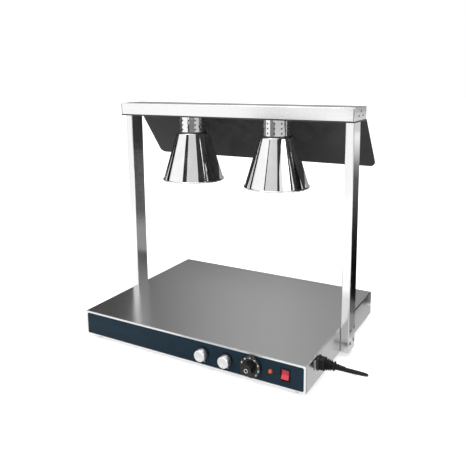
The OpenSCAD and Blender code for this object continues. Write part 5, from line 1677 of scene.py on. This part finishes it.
@dataclass
class Guard(Assembly):
    """The smoked guard: a flange under the bar, a bend and a sloping skirt."""

    thickness: float = 4.0 * MM
    bend: float = 10.0 * MM
    slope: float = 53.5
    skirt: float = 160.0 * MM
    corner: float = 16.0 * MM

    def build(self) -> None:
        """Makes the guard."""
        low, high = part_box("guard")
        lean = math.radians(self.slope)
        bend_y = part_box("bar_housing")[1].y - 2.0 * MM
        corner_y = bend_y + self.bend * math.tan(lean / 2.0)
        end_y = bend_y + self.bend * math.sin(lean) + self.skirt * math.cos(lean)
        end_z = high.z - self.bend + self.bend * math.cos(lean) - self.skirt * math.sin(lean)
        section = [(low.x, low.y, high.z), (low.x, corner_y, high.z), (low.x, end_y, end_z)]
        shape = Shape().sweep(section, (high.x - low.x, 0.0, 0.0))
        lower = [v for v in shape.bm.verts if abs(v.co.z - end_z) < TOUCH]
        bmesh.ops.bevel(shape.bm, geom=lower, offset=self.corner, offset_type="OFFSET", segments=8, profile=0.5,
                        affect="VERTICES", material=-1, clamp_overlap=True)
        shape.bevel(shape.level_edges(1, corner_y), self.bend * math.tan(lean / 2.0), 10).thicken(self.thickness)
        shape.bevel(shape.sharp_edges(1.0), 0.5 * MM, 2)
        self.shop.add(shape, "smoked_guard", "guard_smoke", "guard")


# ---------------------------------------------------------------- heat lamps


@dataclass
class HeatLamp(Assembly):
    """One heat lamp: perforated neck, conical shade with a rolled bead, and reflector bulb."""

    side: str
    offset: float
    neck_radius: float = 36.5 * MM
    neck_top: float = 600.0 * MM
    shade_top: float = 555.0 * MM
    shoulder: float = 47.0 * MM
    mouth: float = 84.5 * MM
    shade_low: float = 421.0 * MM
    bead: float = 2.4 * MM
    wall: float = 1.0 * MM
    columns: int = 12
    rows: int = 3
    hole: float = 2.25 * MM
    first_row: float = 9.5 * MM
    row_step: float = 12.5 * MM
    bulb_radius: float = 60.4 * MM
    centre: tuple[float, float, float] = field(init=False)

    def __post_init__(self) -> None:
        """Finds the lamp's own axis."""
        self.centre = (self.offset, centre_of("lamp_shades").y, 0.0)

    def build(self) -> None:
        """Makes the lamp's pieces."""
        self._neck()
        self._joint_shadow()
        self._shade()
        self._bulb()

    def _neck(self) -> None:
        """The neck: a flat strip with holes, rolled up, with a lid on top and a lip below."""
        shape = Shape()
        cell = 2.0 * math.pi * self.neck_radius / self.columns
        low = self.shade_top - 1.0 * MM
        first = self.neck_top - self.first_row
        holes = [first - row * self.row_step for row in range(self.rows)]
        cuts = [self.neck_top, *[(a + b) / 2.0 for a, b in zip(holes, holes[1:])], low]
        for column in range(self.columns):
            for hole_z, top, bottom in zip(holes, cuts, cuts[1:]):
                self._cell(shape, (column + 0.5) * cell, hole_z, cell, top, bottom)
        bmesh.ops.remove_doubles(shape.bm, verts=shape.bm.verts, dist=TOUCH)
        r, (cx, cy, _) = self.neck_radius, self.centre
        for vert in shape.bm.verts:
            turn = vert.co.x / r
            vert.co = Vector((cx + r * math.cos(turn), cy + r * math.sin(turn), vert.co.z))
        bmesh.ops.remove_doubles(shape.bm, verts=shape.bm.verts, dist=TOUCH)
        shape.outwards()
        bmesh.ops.solidify(shape.bm, geom=shape.bm.faces[:], thickness=self.wall)
        lid, hole, within = self.neck_top - 0.1 * MM, 5.3 * MM, r - self.wall
        shape.spin([(hole, lid - 0.8 * MM), (within, lid - 0.8 * MM), (within, lid), (hole, lid)],
                   self.centre, Axis.Z, 96, closed=True)
        lip, beyond = low - 1.0 * MM, r + 3.5 * MM
        shape.spin([(within, lip), (beyond, lip), (beyond, low), (within, low)], self.centre, Axis.Z, 96, closed=True)
        self.shop.add(shape, f"{self.side}_neck", "lamp_chrome", "lamp_necks", smooth=0.7)

    def _joint_shadow(self) -> None:
        """The dark ring where the neck meets the shade: the joint, drawn as a band of painted shadow and dark
        reflection.
        """
        r, top = self.neck_radius, self.shade_top
        section = [(r, top), (r + 2.8 * MM, top), (r + 3.2 * MM, top + 0.5 * MM), (r + 3.0 * MM, top + 2.0 * MM),
                   (r + 2.0 * MM, top + 3.0 * MM), (r, top + 3.3 * MM)]
        shape = Shape()
        shape.spin(section, self.centre, Axis.Z, 96, closed=True)
        self.shop.add(shape, f"{self.side}_neck_joint_shadow", "dark_ink_and_shade", slot="black_plastic")

    def _cell(self, shape: Shape, u: float, v: float, width: float, top: float, bottom: float) -> None:
        """One patch of the neck's strip with a hole in it.

        Args:
            shape: the strip.
            u: the hole's place round the neck.
            v: its height.
            width: the patch's width.
            top: the patch's upper edge.
            bottom: its lower edge.
        """
        across, down = 8, 4
        x0, x1 = u - width / 2.0, u + width / 2.0
        border = [(x0 + width * i / across, bottom) for i in range(across)]
        border += [(x1, bottom + (top - bottom) * i / down) for i in range(down)]
        border += [(x1 - width * i / across, top) for i in range(across)]
        border += [(x0, top - (top - bottom) * i / down) for i in range(down)]
        rings = [border]
        for radius in (self.hole * 1.5, self.hole):
            angles = [math.atan2(z - v, x - u) for x, z in border]
            rings.append([(u + radius * math.cos(a), v + radius * math.sin(a)) for a in angles])
        loops = []
        for ring in rings:
            verts = [shape.bm.verts.new((x, 0.0, z)) for x, z in ring]
            loops.append([shape.bm.edges.new(pair) for pair in zip(verts, [*verts[1:], verts[0]])])
        for outer, inner in zip(loops, loops[1:]):
            bmesh.ops.bridge_loops(shape.bm, edges=[*outer, *inner])

    def _shade(self) -> None:
        """The shade, with its rounded shoulder and rolled bead."""
        t = self.wall
        z0 = self.shade_low + self.bead
        inner = self.neck_radius + 0.3 * MM
        r = 4.0 * MM
        centre = (self.shoulder - r, self.shade_top - r)
        outside = [(inner, self.shade_top), *arc(centre, r, 90, 18, 8)]
        bead = arc((self.mouth - t + self.bead * 0.8, z0), self.bead, 100, -200, 20)
        inside = [(self.mouth - t, z0), *arc(centre, r - t, 18, 90, 6), (inner, self.shade_top - t)]
        shape = Shape()
        shape.spin([*outside, (self.mouth - 0.4 * MM, z0 + 3.6 * MM), *bead, *inside], self.centre, Axis.Z, 160,
                   closed=True)
        self.shop.add(shape, f"{self.side}_shade", "lamp_chrome", "lamp_shades", smooth=0.7)

    def _bulb(self) -> None:
        """The bulb: a bowl that opens from a narrow neck to a stippled face."""
        low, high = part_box("bulb_glasses")
        r = self.bulb_radius
        length = high.z - low.z
        bowl = [*mm([(0.0, 0.0), (15.0, 0.0), (16.0, 1.5), (17.0, 6.0), (20.0, 12.0)]),
                (r * 0.5, length * 0.27), (r * 0.72, length * 0.43), (r * 0.88, length * 0.58),
                (r * 0.965, length * 0.72), (r * 0.99, length * 0.79), (r, length * 0.83), (r, length * 0.88),
                (r * 0.985, length * 0.91), (r * 0.95, length * 0.935), (r * 0.8, length * 0.965),
                (r * 0.5, length * 0.988), (0.0, length)]
        shape = Shape()
        shape.spin([(a, -d) for a, d in bowl], (*self.centre[:2], high.z), Axis.Z, 96)
        self.shop.add(shape, f"{self.side}_bulb", "bulb_glass", "bulb_glasses")


# ---------------------------------------------------------------- finishes by slot

ORIGIN = (0.0, 0.0, 0.0)
KNOB_LINE = (0.0, 0.0, 0.047)
FINISHES = {finish.name: finish for finish in (
    FoldedSteel("top_steel", (0.44, 0.44, 0.445), 0.22),
    BrushedSteel("panel_steel", (0.62, 0.62, 0.63), 0.28),
    BrushedSteel("upright_steel", (0.76, 0.76, 0.765), 0.15, Axis.Z, depth=0.000003, contrast=0.5),
    BrushedSteel("bar_steel", (0.8, 0.8, 0.81), 0.22, depth=0.000006, contrast=0.6),
    BrushedSteel("zinc_steel", (0.52, 0.54, 0.57), 0.4, Axis.Z),
    BrushedSteel("plate_aluminium", (0.7, 0.7, 0.71), 0.4, Axis.Y),
    PolishedChrome("lamp_chrome", (0.82, 0.82, 0.83)),
    PolishedChrome("inlay_bright", (0.85, 0.85, 0.85), 0.12),
    TurnedMetal("knob_chrome", (0.92, 0.92, 0.92), (0.089, 0.0, 0.047), 0.4),
    TurnedMetal("screw_steel", (0.035, 0.035, 0.035), ORIGIN, 0.3, pitch=0.004),
    TurnedMetal("copper_tube", (0.66, 0.34, 0.2), ORIGIN, 0.28, pitch=0.003),
    TurnedMetal("spindle_brass", (0.64, 0.5, 0.26), KNOB_LINE, 0.24, pitch=0.002),
    TurnedMetal("nut_brass", (0.66, 0.53, 0.3), KNOB_LINE, 0.28, pitch=0.003),
    Moulding("foot_rubber", (0.018, 0.018, 0.019), 0.75, grain=0.00004, scale=700.0),
    Moulding("silicone_mat", (0.36, 0.09, 0.04), 0.6, grain=0.00006, scale=500.0),
    Moulding("insulation_fibre", (0.7, 0.66, 0.54), 0.9, grain=0.0003, scale=300.0),
    Moulding("ceramic_white", (0.8, 0.78, 0.7), 0.25, scale=400.0, edge=0.2, coat=0.3),
    Moulding("knob_black", (0.004, 0.004, 0.0045), 0.18, grain=0.00001, scale=1600.0, edge=0.25, specular=0.34),
    Moulding("black_plastic", (0.011, 0.011, 0.0115), 0.36),
    Moulding("switch_black", (0.003, 0.003, 0.0032), 0.3, scale=900.0, edge=0.2, specular=0.2),
    Moulding("cord_black", (0.003, 0.003, 0.0032), 0.5, grain=0.00003, scale=1100.0, edge=0.3, specular=0.16),
    Moulding("wire_sleeve", (0.03, 0.03, 0.032), 0.6),
    Moulding("drawer_grey", (0.3, 0.3, 0.31), 0.35),
    # dark_ink_and_shade: dark marks and joints, and the painted shadow ring where each lamp's neck meets its shade
    Moulding("dark_ink_and_shade", (0.02, 0.02, 0.02), 0.4),
    Moulding("white_ink", (0.82, 0.82, 0.82), 0.4),
    PrintedFilm("overlay_film", (0.0075, 0.021, 0.033)),
    SmokedSheet("guard_smoke", (0.055, 0.055, 0.056)),
    BulbGlass("bulb_glass", 0.4735),
    TintedLens("pilot_orange", (0.6, 0.1, 0.012), (0.34, 0.035, 0.006)),
    # rocker_red: the upper half, pressed in at rest, is painted darker as painted shade
    TintedLens("rocker_red", (0.7, 0.045, 0.075), (0.36, 0.004, 0.02), Axis.X, pitch=0.004, roughness=0.16,
               shade_split=0.047),
)}


def dress_nodes(finishes: dict[str, Material]) -> None:
    """Gives each CAD node the material of its slot.

    Args:
        finishes: the materials by slot.
    """
    for part in frame["record"]["subparts"]:
        node = frame["nodes"][part["node"]]
        material = finishes[part["material_slot"]]
        if not node.material_slots:
            node.data.materials.append(material)
        for holder in node.material_slots:
            holder.material = material
        log.info("%s is dressed in %s", part["node"], part["material_slot"])


def main() -> None:
    """Builds the whole scene."""
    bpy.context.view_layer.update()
    shop = Workshop({name: finish.build() for name, finish in FINISHES.items()})
    PhotoCamera().build()
    MainsLead(shop).build()
    dress_nodes(shop.finishes)
    Base(shop).build()
    Inlet(shop).build()
    LampKnob(shop, "left_lamp_knob", Body.LEFT_DIMMER).build()
    LampKnob(shop, "right_lamp_knob", Body.RIGHT_DIMMER).build()
    Thermostat(shop).build()
    PanelFittings(shop).build()
    Frame(shop).build()
    Guard(shop).build()
    HeatLamp(shop, "left", -131.0 * MM).build()
    HeatLamp(shop, "right", 131.0 * MM).build()
    Studio().build()
    log.info("%d pieces are fitted", len(shop.pieces))


if __name__ == "__main__":
    main()
